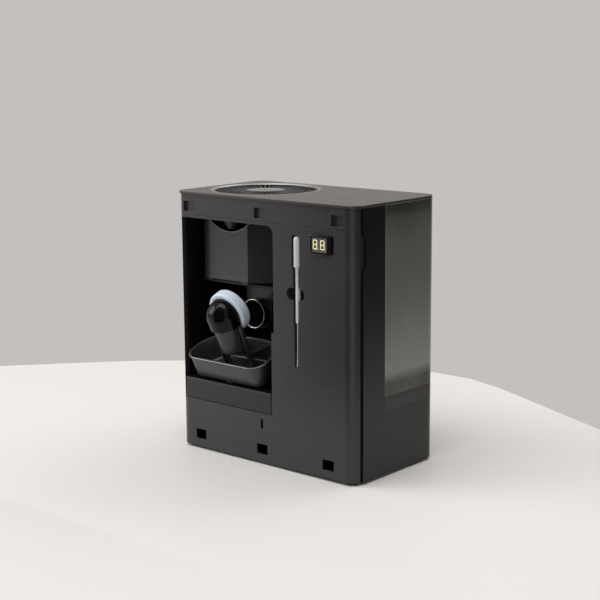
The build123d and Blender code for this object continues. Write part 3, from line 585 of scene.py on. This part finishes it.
class Look(Enum):
    """Finishes by the part of the machine that wears them."""

    # Each edge factor sets how much lighter a finish paints its edges, a painted highlight; it is
    # strongest on the grille, tray, duct and cup.
    FRONT = Moulded("front_plastic", shade(45, 42, 44), 0.32)
    # A darker copy of the front's plastic: painted shade for the sides, which face away from the
    # light.
    SHADED_SHELL = Moulded("shell_plastic", shade(16, 15, 16), 0.32)
    TOP = Moulded("top_plastic", shade(54, 50, 48), 0.30, 1000.0)
    BAY = Moulded("bay_plastic", shade(14, 14, 15), 0.34, 800.0, edge=1.4)
    TRAY = Moulded("tray_plastic", shade(22, 21, 22), 0.34, edge=4.0)
    DUCT = Moulded("duct_plastic", shade(36, 36, 37), 0.26, edge=2.6)
    TUBE = Moulded("tube_plastic", shade(50, 49, 49), 0.26, depth=0.00001, edge=1.8)
    # The cup's scoop bead is painted much lighter than the cup: a painted highlight along the
    # scoop's rim.
    CUP_LIP = Moulded("cup_lip_highlight", shade(110, 108, 108), 0.22, 1100.0, depth=0.00002)
    CUP = Moulded("cup_plastic", shade(45, 44, 45), 0.24, 1100.0, depth=0.00003, edge=2.4)
    # The vane tops are painted far lighter than the vanes: a painted highlight.
    GRILLE = Moulded("grille_plastic", shade(6, 6, 6), 0.26, depth=0.00002, edge=16.0)
    # Near-black plastic; on the cup shelf it is painted shade, standing for the shade under the
    # cup.
    DEEP = Moulded("deep_plastic", shade(7, 7, 7), 0.45, edge=1.2)
    SEAT = Moulded("seat_plastic", shade(42, 39, 38), 0.34)
    BASE = Moulded("base_plastic", shade(30, 30, 30), 0.55, 700.0)
    ICON = Moulded("icon_ink", shade(160, 158, 155), 0.5, depth=0.00001)
    HEAD = Gloss("head_gloss", shade(8, 8, 9), 0.09, specular=0.2, coat=0.0)
    HUB = Gloss("hub_gloss", shade(20, 20, 20), 0.16)
    BEZEL = Gloss("bezel_gloss", shade(16, 16, 17), 0.14)
    WINDOW = Gloss("window_gloss", shade(92, 88, 86), 0.12)
    PAN = Coated("pan_coating", shade(50, 49, 49), shade(190, 188, 185), 0.30, 0.06)
    STEEL = Metal("steel_satin", shade(170, 170, 172), 0.25)
    PORT = Metal("port_steel", shade(165, 165, 168), 0.3, (1.0, 30.0, 1.0))
    RING = Turned("ring_satin", shade(170, 169, 168), FAN_CENTRE, 0.46)
    RIM = Metal("rim_bare", shade(150, 148, 147), 0.3)
    LIP = Metal("lip_steel", shade(215, 215, 218), 0.22, (1.0, 30.0, 1.0))
    SEAL = Silicone("seal_silicone", shade(200, 213, 228))
    VALVE = Silicone("valve_silicone", shade(190, 190, 190))
    SMOKE = Smoked("tank_smoke", TANK_PAINTED_SHADE, TANK_SPAN)
    PIPETTE = Milky("pipette_milky", shade(196, 200, 205))
    MAT = Rubber("mat_rubber", shade(30, 30, 30))
    DIGIT = Glow("digit_glow", shade(242, 230, 178), 0.45)
    BOARD = Board("board_lacquer")

    def material(self) -> bpy.types.Material:
        """Build the finish once and return its material."""
        known = bpy.data.materials.get(self.value.name + FINISH)
        return known or self.value.build()


def dress(look: Look, nodes: Iterable[str]) -> None:
    """Give CAD nodes a finish through their material slots.

    Args:
        look: The finish.
        nodes: The nodes' names.
    """
    finish = look.material()
    for name in nodes:
        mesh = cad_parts[name].data
        for index in range(len(mesh.materials)):
            mesh.materials[index] = finish
        if not mesh.materials:
            mesh.materials.append(finish)
        log.info("dressed %s with %s", name, finish.name)


# ---- mesh helpers
def around(steps: int) -> list[float]:
    """Angles of evenly spaced points on a circle."""
    return [2 * math.pi * step / steps for step in range(steps)]


class Mesher:
    """Makes the fine pieces' meshes and hands them to their CAD bodies."""

    @staticmethod
    def place(name: str, mesh: bmesh.types.BMesh, look: Look, body: str,
              slot: str) -> bpy.types.Object:
        """Turn a mesh into a piece that rides on a body.

        Args:
            name: The piece's name.
            mesh: Its geometry, in metres in the row frame.
            look: Its finish.
            body: The CAD body that carries it.
            slot: The record's material slot. It is not used.

        Returns:
            The new object.
        """
        bmesh.ops.recalc_face_normals(mesh, faces=mesh.faces)
        data = bpy.data.meshes.new(name)
        mesh.to_mesh(data)
        mesh.free()
        data.polygons.foreach_set("use_smooth", [True] * len(data.polygons))
        data.set_sharp_from_angle(angle=SHARP)
        piece = bpy.data.objects.new(name, data)
        bpy.context.scene.collection.objects.link(piece)
        data.materials.append(look.material())
        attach(piece, body)
        log.info("made %s on %s", name, body)
        return piece

    @staticmethod
    def skin(loops: Sequence[Sequence[Vector]], ring: bool = False,
             mesh: bmesh.types.BMesh | None = None) -> bmesh.types.BMesh:
        """Join closed loops of points, each to the next.

        Args:
            loops: Loops with the same number of points each.
            ring: Whether the last loop joins the first. If not, both end loops are capped.
            mesh: A mesh to add to, or nothing for a new one.

        Returns:
            The mesh, with the closed form in it.
        """
        mesh = mesh or bmesh.new()
        rows = [[mesh.verts.new(point) for point in loop] for loop in loops]
        for here, there in zip(rows, rows[1:] + (rows[:1] if ring else [])):
            for index in range(len(here)):
                after = (index + 1) % len(here)
                mesh.faces.new((here[index], there[index], there[after], here[after]))
        if not ring:
            mesh.faces.new(rows[0])
            mesh.faces.new(rows[-1])
        return mesh

    @staticmethod
    def turned(outline: Sequence[tuple[float, float]], centre: Callable[[float], Vector],
               turns: int) -> list[list[Vector]]:
        """Level circles for an outline of radius and height pairs.

        Args:
            outline: Points as radius and height, in metres.
            centre: Gives the circle's centre at a height.
            turns: Points on each circle.

        Returns:
            One loop for each point of the outline.
        """
        spokes = [Vector((math.cos(angle), math.sin(angle), 0)) for angle in around(turns)]
        return [[centre(height) + radius * spoke for spoke in spokes]
                for radius, height in outline]

    @staticmethod
    def tube(path: Sequence[Vector], radius: float, closed: bool = True,
             sides: int = 10) -> list[list[Vector]]:
        """Sections of a round bar along a flat path.

        Args:
            path: Points of the path, which turns one way.
            radius: The bar's radius in metres.
            closed: Whether the path is a closed loop.
            sides: Sides of the section.

        Returns:
            One loop for each point of the path.
        """
        count = len(path)
        middle = sum(path, Vector()) / count
        normal = (path[0] - middle).cross(path[count // 3] - middle).normalized()
        loops = []
        for index, point in enumerate(path):
            after = path[(index + 1) % count] if closed else path[min(index + 1, count - 1)]
            before = path[index - 1] if closed or index else path[0]
            out = (after - before).normalized().cross(normal)
            loops.append([point + radius * (out * math.cos(angle) + normal * math.sin(angle))
                          for angle in around(sides)])
        return loops

    @staticmethod
    def plan(half: tuple[float, float], corners: tuple[float, float],
             steps: int = 8) -> list[tuple[float, float]]:
        """Outline of a rounded rectangle about its own middle.

        Args:
            half: Half of its width and half of its height.
            corners: Radius of the two low corners, then of the two high ones.
            steps: Steps round each corner.

        Returns:
            Its points, counter-clockwise from the low right corner.
        """
        low, high = corners
        spots = ((half[0] - low, low - half[1], low, -90),
                 (half[0] - high, half[1] - high, high, 0),
                 (high - half[0], half[1] - high, high, 90),
                 (low - half[0], low - half[1], low, 180))
        points = []
        for x, y, radius, start in spots:
            for step in range(steps + 1):
                angle = math.radians(start + 90 * step / steps)
                points.append((x + radius * math.cos(angle), y + radius * math.sin(angle)))
        return points


# ---- sub-assemblies
@dataclass
class Covers:
    """Front frame, shells, base and top plate."""

    def build(self) -> None:
        """Dress the covers."""
        dress(Look.FRONT, ("front_top_band", "front_lower_panel", "front_surround",
                           "pipette_well"))
        # The shells, back and inlet take the darker copy of the front's plastic: painted shade.
        dress(Look.SHADED_SHELL, ("left_shell", "right_shell", "back_panel", "power_inlet"))
        dress(Look.TOP, ("top_plate", "tank_lid"))
        dress(Look.BASE, ("base_plate", "groove_strips"))
        dress(Look.MAT, ("base_mat",))
        dress(Look.STEEL, ("panel_screws",))


@dataclass
class Controls:
    """Raised display, power button, touch marks and the boards behind them."""

    panel: float = -76 * MM
    raised: float = 3.4 * MM
    frame_x: tuple[float, float] = (76.2 * MM, 103.6 * MM)
    frame_z: tuple[float, float] = (262.4 * MM, 284.0 * MM)
    socket: tuple[tuple[float, float], ...] = ((75.7 * MM, 106.1 * MM), (263.9 * MM, 283.7 * MM))
    window_x: tuple[float, float] = (79.2 * MM, 99.9 * MM)
    window_z: tuple[float, float] = (266.0 * MM, 281.4 * MM)
    figure_x: tuple[float, float] = (84.2 * MM, 94.9 * MM)
    figure_z: float = 273.8 * MM
    figure: tuple[float, float] = (6.0 * MM, 10.8 * MM)
    bar: float = 0.85 * MM
    bar_gap: float = 0.12 * MM
    point_radius: float = 0.5 * MM
    point_offset: float = 0.9 * MM
    point_sides: int = 12
    frame_corner: float = 1.9 * MM
    window_corner: float = 1.3 * MM
    socket_corner: float = 0.6 * MM
    socket_depth: float = 4.9 * MM
    pane_depth: float = 4.5 * MM
    pane_sink: float = 0.9 * MM
    figure_root: float = 0.05 * MM
    figure_rise: float = 0.12 * MM
    marks_x: tuple[float, ...] = (47.0 * MM, 63.0 * MM, 86.0 * MM, 99.0 * MM, 112.0 * MM)
    marks_y: float = -58 * MM
    mark_radius: float = 2.6 * MM
    mark_wire: float = 0.23 * MM
    mark_sink: float = 0.24 * MM
    top: float = 320 * MM
    button: tuple[float, float] = (-114.5 * MM, -52.5 * MM)
    button_radius: float = 2.9 * MM
    button_wire: float = 0.2 * MM
    button_sink: float = 0.25 * MM

    @staticmethod
    def upright(x: tuple[float, float], z: tuple[float, float], radius: float, y: float,
                inset: float = 0.0) -> list[Vector]:
        """A rounded rectangle that stands facing the front.

        Args:
            x: Its left and right.
            z: Its bottom and top.
            radius: Its corner radius.
            y: Its depth.
            inset: How far all of it is drawn in.

        Returns:
            Its points.
        """
        left, right, low, high = x[0] + inset, x[1] - inset, z[0] + inset, z[1] - inset
        plan = Mesher.plan(((right - left) / 2, (high - low) / 2),
                           (radius - inset, radius - inset))
        return [Vector(((left + right) / 2 + px, y, (low + high) / 2 + pz)) for px, pz in plan]

    def framed(self, inset: float, y: float) -> list[Vector]:
        """The frame's outer outline, drawn in by an inset, at a depth."""
        return self.upright(self.frame_x, self.frame_z, self.frame_corner, y, inset)

    def opening(self, inset: float, y: float) -> list[Vector]:
        """The window's outline, drawn in by an inset, at a depth."""
        return self.upright(self.window_x, self.window_z, self.window_corner, y, inset)

    def bars(self, x: float) -> list[list[tuple[float, float]]]:
        """Outlines of one figure's seven pointed bars.

        Args:
            x: The figure's middle.

        Returns:
            One outline of X and Z pairs for each bar.
        """
        width, height = self.figure
        half = self.bar / 2
        long_x = (width - self.bar) / 2 - self.bar_gap
        long_z = (height - self.bar) / 4 - self.bar_gap
        flat = [(-long_x, 0), (half - long_x, -half), (long_x - half, -half), (long_x, 0),
                (long_x - half, half), (half - long_x, half)]
        stood = [(0, -long_z), (half, half - long_z), (half, long_z - half), (0, long_z),
                 (-half, long_z - half), (-half, half - long_z)]
        rise, reach = (height - self.bar) / 2, (width - self.bar) / 2
        made = [[(x + px, self.figure_z + level + pz) for px, pz in flat]
                for level in (-rise, 0, rise)]
        for side in (-reach, reach):
            for level in (-rise / 2, rise / 2):
                made.append([(x + side + px, self.figure_z + level + pz) for px, pz in stood])
        return made

    def casing(self) -> list[list[Vector]]:
        """Sections of the display's frame, from its socket round its face and back.

        Returns:
            One loop of points for each section.
        """
        face = self.panel - self.raised
        back = self.panel + self.socket_depth
        return [self.upright(*self.socket, self.socket_corner, back),
                self.upright(*self.socket, self.socket_corner, self.panel - 0.4 * MM),
                self.framed(0, self.panel - 0.5 * MM), self.framed(0, face + 0.7 * MM),
                self.framed(0.2 * MM, face + 0.2 * MM), self.framed(0.7 * MM, face),
                self.opening(-0.4 * MM, face), self.opening(0, face + 0.3 * MM),
                self.opening(0, back)]

    def figures(self, sill: float) -> bmesh.types.BMesh:
        """Two lit figures, each with its point, standing a little proud of the pane.

        Args:
            sill: The depth of the pane's face.

        Returns:
            Their mesh.
        """
        depths = (sill + self.figure_root, sill - self.figure_rise)
        lit = bmesh.new()
        for x in self.figure_x:
            spot_x = x + self.figure[0] / 2 + self.point_offset
            spot_z = self.figure_z - self.figure[1] / 2 + self.bar / 2
            dot = [(spot_x + self.point_radius * math.cos(angle),
                    spot_z + self.point_radius * math.sin(angle))
                   for angle in around(self.point_sides)]
            for outline in [*self.bars(x), dot]:
                Mesher.skin([[Vector((px, y, pz)) for px, pz in outline] for y in depths],
                            mesh=lit)
        return lit

    def display(self) -> None:
        """Make the raised frame, its window and the lit figures."""
        sill = self.panel - self.raised + self.pane_sink
        made = Mesher.place("display_frame", Mesher.skin(self.casing(), ring=True),
                            Look.BEZEL, "housing", "bezel_gloss")
        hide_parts("display_bezel")
        pane = Mesher.skin([self.opening(0.05 * MM, self.panel + self.pane_depth),
                            self.opening(0.05 * MM, sill)])
        made = Mesher.place("display_pane", pane, Look.WINDOW, "housing", "window_grey")
        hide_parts("display_window")
        made = Mesher.place("display_figures", self.figures(sill), Look.DIGIT,
                            "housing", "digit_glow")
        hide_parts("display_digits")

    @staticmethod
    def hoop(spot: Vector, radius: float, wire: float,
             mesh: bmesh.types.BMesh | None = None) -> bmesh.types.BMesh:
        """A level ring of round wire, in a new mesh or added to one."""
        path = Mesher.turned([(radius, 0.0)], lambda _: spot, 36)[0]
        return Mesher.skin(Mesher.tube(path, wire, sides=8), ring=True, mesh=mesh)

    def touch_icons(self) -> None:
        """Lay a thin pale ring in each touch mark."""
        icons = bmesh.new()
        for x in self.marks_x:
            spot = Vector((x, self.marks_y, self.top - self.mark_sink))
            self.hoop(spot, self.mark_radius, self.mark_wire, icons)
        Mesher.place("touch_icons", icons, Look.ICON, "housing", "mark_ink")

    def button_ring(self) -> None:
        """Lay a bright ring in the power button."""
        spot = Vector((*self.button, self.top - self.button_sink))
        ring = self.hoop(spot, self.button_radius, self.button_wire)
        Mesher.place("button_ring", ring, Look.STEEL, "button", "button_satin")

    def build(self) -> None:
        """Make the display and dress the controls."""
        self.display()
        self.touch_icons()
        self.button_ring()
        dress(Look.HEAD, ("power_button", "button_collar"))
        dress(Look.TOP, ("touch_marks",))
        dress(Look.BOARD, ("control_board", "power_board"))


@dataclass
class Cooling:
    """Fan under the top plate and the condenser below it."""

    centre: Point = FAN_CENTRE
    # Radius and height of the dome's outline, in millimetres, from its foot to its top.
    dome: tuple[tuple[float, float], ...] = (
        (23.1, 318.3), (23.1, 318.7), (22.5, 319.0), (16.0, 319.3), (8.0, 319.45), (0.4, 319.5))

    def hub_cap(self) -> None:
        """Put a low glossy dome on the middle of the grille."""
        outline = [(radius * MM, height * MM) for radius, height in self.dome]
        axis = Vector(self.centre)
        loops = Mesher.turned(outline, lambda height: axis + Vector((0, 0, height)), 72)
        Mesher.place("fan_hub_cap", Mesher.skin(loops), Look.HUB, "housing", "fan_plastic")

    def build(self) -> None:
        """Dress the fan and condenser."""
        dress(Look.RING, ("fan_ring",))
        dress(Look.GRILLE, ("fan_grille",))
        dress(Look.DEEP, ("fan_shroud", "impeller"))
        dress(Look.STEEL, ("fan_motor", "condenser_coil", "steam_riser"))
        self.hub_cap()


@dataclass
class Bay:
    """Black bay with the shelf, duct, port, nozzle and receiver cup."""

    port_centre: Point = (-64.5 * MM, -20.5 * MM, 167.5 * MM)
    port_wall: float = 17.7 * MM
    port_lip: float = 0.75 * MM
    scoop_centre: Point = (-78.0 * MM, -46.9 * MM, 319.0 * MM)
    scoop_radius: float = 48.1 * MM
    scoop_reach: float = math.radians(46)
    scoop_bead: float = 0.7 * MM

    @staticmethod
    def arc(centre: Point, radius: float, reach: float, steps: int) -> list[Vector]:
        """Points from left to right of an upright arc, which reaches both ways from its foot."""
        turns = [-reach + 2 * reach * step / steps for step in range(steps + 1)]
        return [Vector(centre) + radius * Vector((math.sin(t), 0, -math.cos(t))) for t in turns]

    def lips(self) -> None:
        """Round off the port's mouth and the cup's scooped edge."""
        mouth = self.arc(self.port_centre, self.port_wall, math.pi, 72)[:-1]
        lip = Mesher.skin(Mesher.tube(mouth, self.port_lip, sides=12), ring=True)
        Mesher.place("port_lip", lip, Look.LIP, "housing", "port_steel")
        edge = self.arc(self.scoop_centre, self.scoop_radius, self.scoop_reach, 40)
        bead = Mesher.skin(Mesher.tube(edge, self.scoop_bead, closed=False))
        # The bead takes a lighter finish than the cup: a painted highlight on the scoop's rim.
        Mesher.place("cup_scoop_bead", bead, Look.CUP_LIP, "cup", "cup_plastic")

    def build(self) -> None:
        """Dress the bay and add its rounded lips."""
        dress(Look.BAY, ("bay_liner", "bay_ceiling", "deck_plate", "tank_divider"))
        # The shelf is painted near black: painted shade for the shade it sits in.
        dress(Look.DEEP, ("cup_shelf",))
        dress(Look.DUCT, ("duct_housing", "drip_nozzle"))
        dress(Look.PORT, ("port_tube",))
        dress(Look.STEEL, ("hot_plate", "heater_block"))
        dress(Look.CUP, ("receiver_cup",))
        dress(Look.TRAY, ("spill_tray",))
        self.lips()


@dataclass
class Boiler:
    """Boiling pan and the steam elbow that stands in it, tipped forward."""

    pivot: Point = (-64.5 * MM, -69.0 * MM, 89.5 * MM)
    tip: float = math.radians(23.5)
    height: float = 30 * MM
    # Width, depth, near corner radius and far corner radius of the plan, at the foot and the rim.
    base: tuple[float, ...] = (110 * MM, 50 * MM, 9 * MM, 29 * MM)
    rim: tuple[float, ...] = (124 * MM, 57 * MM, 18 * MM, 37 * MM)
    # Level and inset of the pan's section in millimetres, from under it over the rim to its floor.
    section: tuple[tuple[float, float], ...] = (
        (0, 8), (0, 4), (0.3, 2.4), (1.0, 1.1), (2.2, 0.3), (4, 0), (16, 0), (27.9, 0),
        (28.0, -0.7), (28.3, -1.15), (28.8, -1.4), (29.4, -1.3), (29.8, -0.9), (30, -0.2),
        (30, 0.6), (29.8, 1.3), (29.3, 1.8), (28.5, 2), (16, 2), (6, 2), (4, 2.3), (2.8, 3.4),
        (2.1, 5), (2, 8))
    bead_level: float = 29.35
    bead_inset: float = -0.95
    bead_radius: float = 0.5 * MM
    collar_centre: Point = (0.0, 33.0 * MM, 78.0 * MM)
    collar_radius: float = 21.2 * MM
    collar_bead: float = 0.85 * MM

    def seated(self) -> Matrix:
        """The move from the pan's own level axes to where the pan is stored."""
        return Matrix.Translation(self.pivot) @ Matrix.Rotation(self.tip, 4, "X")

    def outline(self, level: float, inset: float) -> list[Vector]:
        """The pan's plan at a height above its underside.

        Args:
            level: The height, in millimetres.
            inset: How far the plan is drawn in, in millimetres.

        Returns:
            Its points, in the row frame.
        """
        share = level * MM / self.height
        width, depth, near, far = (low + (high - low) * share
                                   for low, high in zip(self.base, self.rim))
        inset *= MM
        half = (width / 2 - inset, depth / 2 - inset)
        plan = Mesher.plan(half, (near - inset, far - inset), 14)
        move = self.seated()
        return [move @ Vector((x, y + depth / 2, level * MM)) for x, y in plan]

    def pan(self) -> None:
        """Make the pan with its rounded foot and rolled rim, bare along its top."""
        loops = [self.outline(level, inset) for level, inset in self.section]
        made = Mesher.place("pan_shell", Mesher.skin(loops), Look.PAN, "boiler", "pan_coating")
        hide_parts("boiling_pan")
        path = self.outline(self.bead_level, self.bead_inset)
        bead = Mesher.skin(Mesher.tube(path, self.bead_radius), ring=True)
        Mesher.place("pan_rim_bead", bead, Look.RIM, "boiler", "pan_coating")

    def collar(self) -> None:
        """Make the rounded collar between the elbow's head and its seal."""
        move, centre = self.seated(), Vector(self.collar_centre)
        path = [move @ (centre + self.collar_radius * Vector((math.cos(angle), 0, math.sin(angle))))
                for angle in around(64)]
        made = Mesher.skin(Mesher.tube(path, self.collar_bead, sides=12), ring=True)
        Mesher.place("head_collar", made, Look.HEAD, "boiler", "head_gloss")

    def build(self) -> None:
        """Make the pan and the head's collar, and dress the elbow."""
        self.pan()
        dress(Look.TUBE, ("elbow_flange", "elbow_shell", "splash_cover"))
        dress(Look.HEAD, ("elbow_head",))
        dress(Look.SEAL, ("seal_ring",))
        self.collar()


@dataclass
class Water:
    """Lift-out water tank with its seat, valve and lid."""

    def build(self) -> None:
        """Dress the tank."""
        dress(Look.SMOKE, ("tank_body",))
        dress(Look.SEAT, ("tank_seat", "tank_base"))
        dress(Look.VALVE, ("tank_valve", "feed_tube"))
        dress(Look.DEEP, ("lid_clips",))
        dress(Look.STEEL, ("feed_pump",))


@dataclass
class Dropper:
    """The stored pipette, with its soft tip leaning out a little."""

    foot: Point = (53.0 * MM, -71.8 * MM, 127.6 * MM)
    lean: float = 1.5 * MM
    soft: float = 56 * MM
    # Radius and height of its outline, in millimetres, from its tip to the top of its bulb.
    outline: tuple[tuple[float, float], ...] = (
        (0.7, 0), (1.15, 0.05), (1.25, 0.5), (1.3, 12), (1.35, 24), (1.45, 36), (1.55, 50),
        (2.0, 50.8), (2.9, 51.6), (3.1, 52.4), (3.1, 62), (3.0, 82), (3.1, 114.6), (3.3, 115.4),
        (4.1, 116), (4.8, 116.7), (5.0, 117.7), (5.0, 132), (5.0, 147.7), (4.8, 149.2),
        (4.2, 150.7), (3.2, 151.8), (1.8, 152.5), (0.4, 152.7))

    def axis(self, height: float) -> Vector:
        """The pipette's middle at a height above its foot."""
        bend = max(0.0, 1 - height / self.soft) ** 2
        return Vector(self.foot) + Vector((0, -self.lean * bend, height))

    def build(self) -> None:
        """Make the pipette."""
        outline = [(radius * MM, height * MM) for radius, height in self.outline]
        blown = Mesher.skin(Mesher.turned(outline, self.axis, 36))
        made = Mesher.place("pipette_blown", blown, Look.PIPETTE, "pipette_body", "pipette_clear")
        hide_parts("pipette")


# ---- studio
@dataclass(frozen=True)
class Lamp:
    """A soft rectangular light: its place, its width and height, and its power in watts."""

    name: str
    at: Point
    size: tuple[float, float]
    power: float


@dataclass(frozen=True)
class Card:
    """A dark upright card that only glossy surfaces mirror: its foot's ends and its height."""

    name: str
    start: tuple[float, float]
    end: tuple[float, float]
    height: float

    def corners(self) -> list[Point]:
        """Its corners in order."""
        return [(*self.start, 0.0), (*self.end, 0.0), (*self.end, self.height),
                (*self.start, self.height)]


@dataclass
class Studio:
    """Pale floor, backdrop, soft lights and the camera."""

    eye: Point = (1.0636, -1.2379, 0.4967)
    azimuth: float = math.radians(40.84)
    elevation: float = math.radians(10.67)
    roll: float = math.radians(-0.42)
    lens: float = 82.3
    film: float = 36.0
    clip: tuple[float, float] = (0.05, 30.0)
    # The table top's outline: an arc behind the machine, then straight on to both sides.
    table: tuple[tuple[float, float], ...] = (
        (-0.562, 0.157), (-0.518, 0.204), (-0.45, 0.262), (-0.37, 0.322), (-0.29, 0.37),
        (-0.2, 0.412), (-0.118, 0.434), (-0.046, 0.434), (0.017, 0.414), (0.08, 0.385),
        (2.8, -0.9), (3.0, -5.0), (-4.0, -5.0), (-2.6, -2.2))
    floor: Colour = shade(220, 219, 216)
    backdrop: Colour = shade(196, 192, 189)
    dark: Colour = shade(20, 20, 20)
    cards: tuple[Card, ...] = (
        Card("side_card", (0.6, -0.3), (0.6, 1.9), 1.0),
        Card("front_card", (-0.19, -0.35), (0.22, -0.35), 0.8))
    target: Point = (0.0, 0.0, 0.15)
    lamps: tuple[Lamp, ...] = (
        Lamp("key", (-2.2, -1.5, 1.35), (1.6, 1.8), 34.0),
        Lamp("top", (-0.1, -0.7, 1.9), (1.5, 1.2), 20.0),
        Lamp("fill", (0.45, 1.3, 1.7), (1.4, 1.0), 12.0))

    @staticmethod
    def sheet(name: str, corners: Sequence[Point], colour: Colour,
              roughness: float) -> bpy.types.Object:
        """Add one flat sheet of the stage.

        Args:
            name: The sheet's name.
            corners: Its corners in order.
            colour: Its colour.
            roughness: Its roughness.

        Returns:
            The new object.
        """
        data = bpy.data.meshes.new(name)
        data.from_pydata(corners, [], [range(len(corners))])
        piece = bpy.data.objects.new(name, data)
        bpy.context.scene.collection.objects.link(piece)
        graph = Graph(name)
        body = graph.tint(graph.noise(3.0, 2.0), scaled(colour, 0.985), scaled(colour, 1.01))
        data.materials.append(graph.finish(Base_Color=body, Roughness=roughness,
                                           Specular_IOR_Level=0.3))
        return piece

    def stand(self, card: Card) -> None:
        """Stand a card where only glossy surfaces see it.

        Args:
            card: The card.
        """
        piece = self.sheet(card.name, card.corners(), self.dark, 0.9)
        piece.visible_camera = False
        piece.visible_diffuse = False
        piece.visible_shadow = False

    def hang(self, lamp: Lamp) -> None:
        """Add a light and aim it at the middle of the machine.

        Args:
            lamp: The light.
        """
        data = bpy.data.lights.new(lamp.name, "AREA")
        data.shape = "RECTANGLE"
        data.size, data.size_y = lamp.size
        data.energy = lamp.power
        piece = bpy.data.objects.new(lamp.name, data)
        piece.location = lamp.at
        aim = Vector(self.target) - Vector(lamp.at)
        piece.rotation_euler = aim.to_track_quat("-Z", "Y").to_euler()
        bpy.context.scene.collection.objects.link(piece)

    def camera(self) -> None:
        """Place the camera and make it the scene's own."""
        data = bpy.data.cameras.new("camera")
        data.lens = self.lens
        data.sensor_width = self.film
        data.clip_start, data.clip_end = self.clip
        sin_a, cos_a = math.sin(self.azimuth), math.cos(self.azimuth)
        sin_e, cos_e = math.sin(self.elevation), math.cos(self.elevation)
        forward = Vector((-sin_a * cos_e, cos_a * cos_e, -sin_e))
        level = forward.cross(Vector((0, 0, 1))).normalized()
        upright = level.cross(forward)
        right = level * math.cos(self.roll) + upright * math.sin(self.roll)
        up = upright * math.cos(self.roll) - level * math.sin(self.roll)
        turn = Matrix((right, up, -forward)).transposed().to_4x4()
        item = bpy.data.objects.new("camera", data)
        item.matrix_world = Matrix.Translation(self.eye) @ turn
        bpy.context.scene.collection.objects.link(item)
        bpy.context.scene.camera = item

    def build(self) -> None:
        """Set up the stage, the light and the camera."""
        self.sheet("floor", [(x, y, 0.0) for x, y in self.table], self.floor, 0.5)
        for card in self.cards:
            self.stand(card)
        world = bpy.data.worlds.new("studio")
        bpy.context.scene.world = world
        world.use_nodes = True
        background = world.node_tree.nodes["Background"]
        background.inputs["Color"].default_value = self.backdrop
        background.inputs["Strength"].default_value = 1.0
        for lamp in self.lamps:
            self.hang(lamp)
        bpy.context.scene.view_settings.view_transform = "Standard"
        self.camera()
        log.info("studio ready")


def main() -> None:
    """Build every sub-assembly, then the studio."""
    logging.basicConfig(level=logging.INFO, format="%(message)s")
    for part in (Covers(), Controls(), Cooling(), Bay(), Boiler(), Water(), Dropper(), Studio()):
        part.build()


if __name__ == "__main__":
    main()
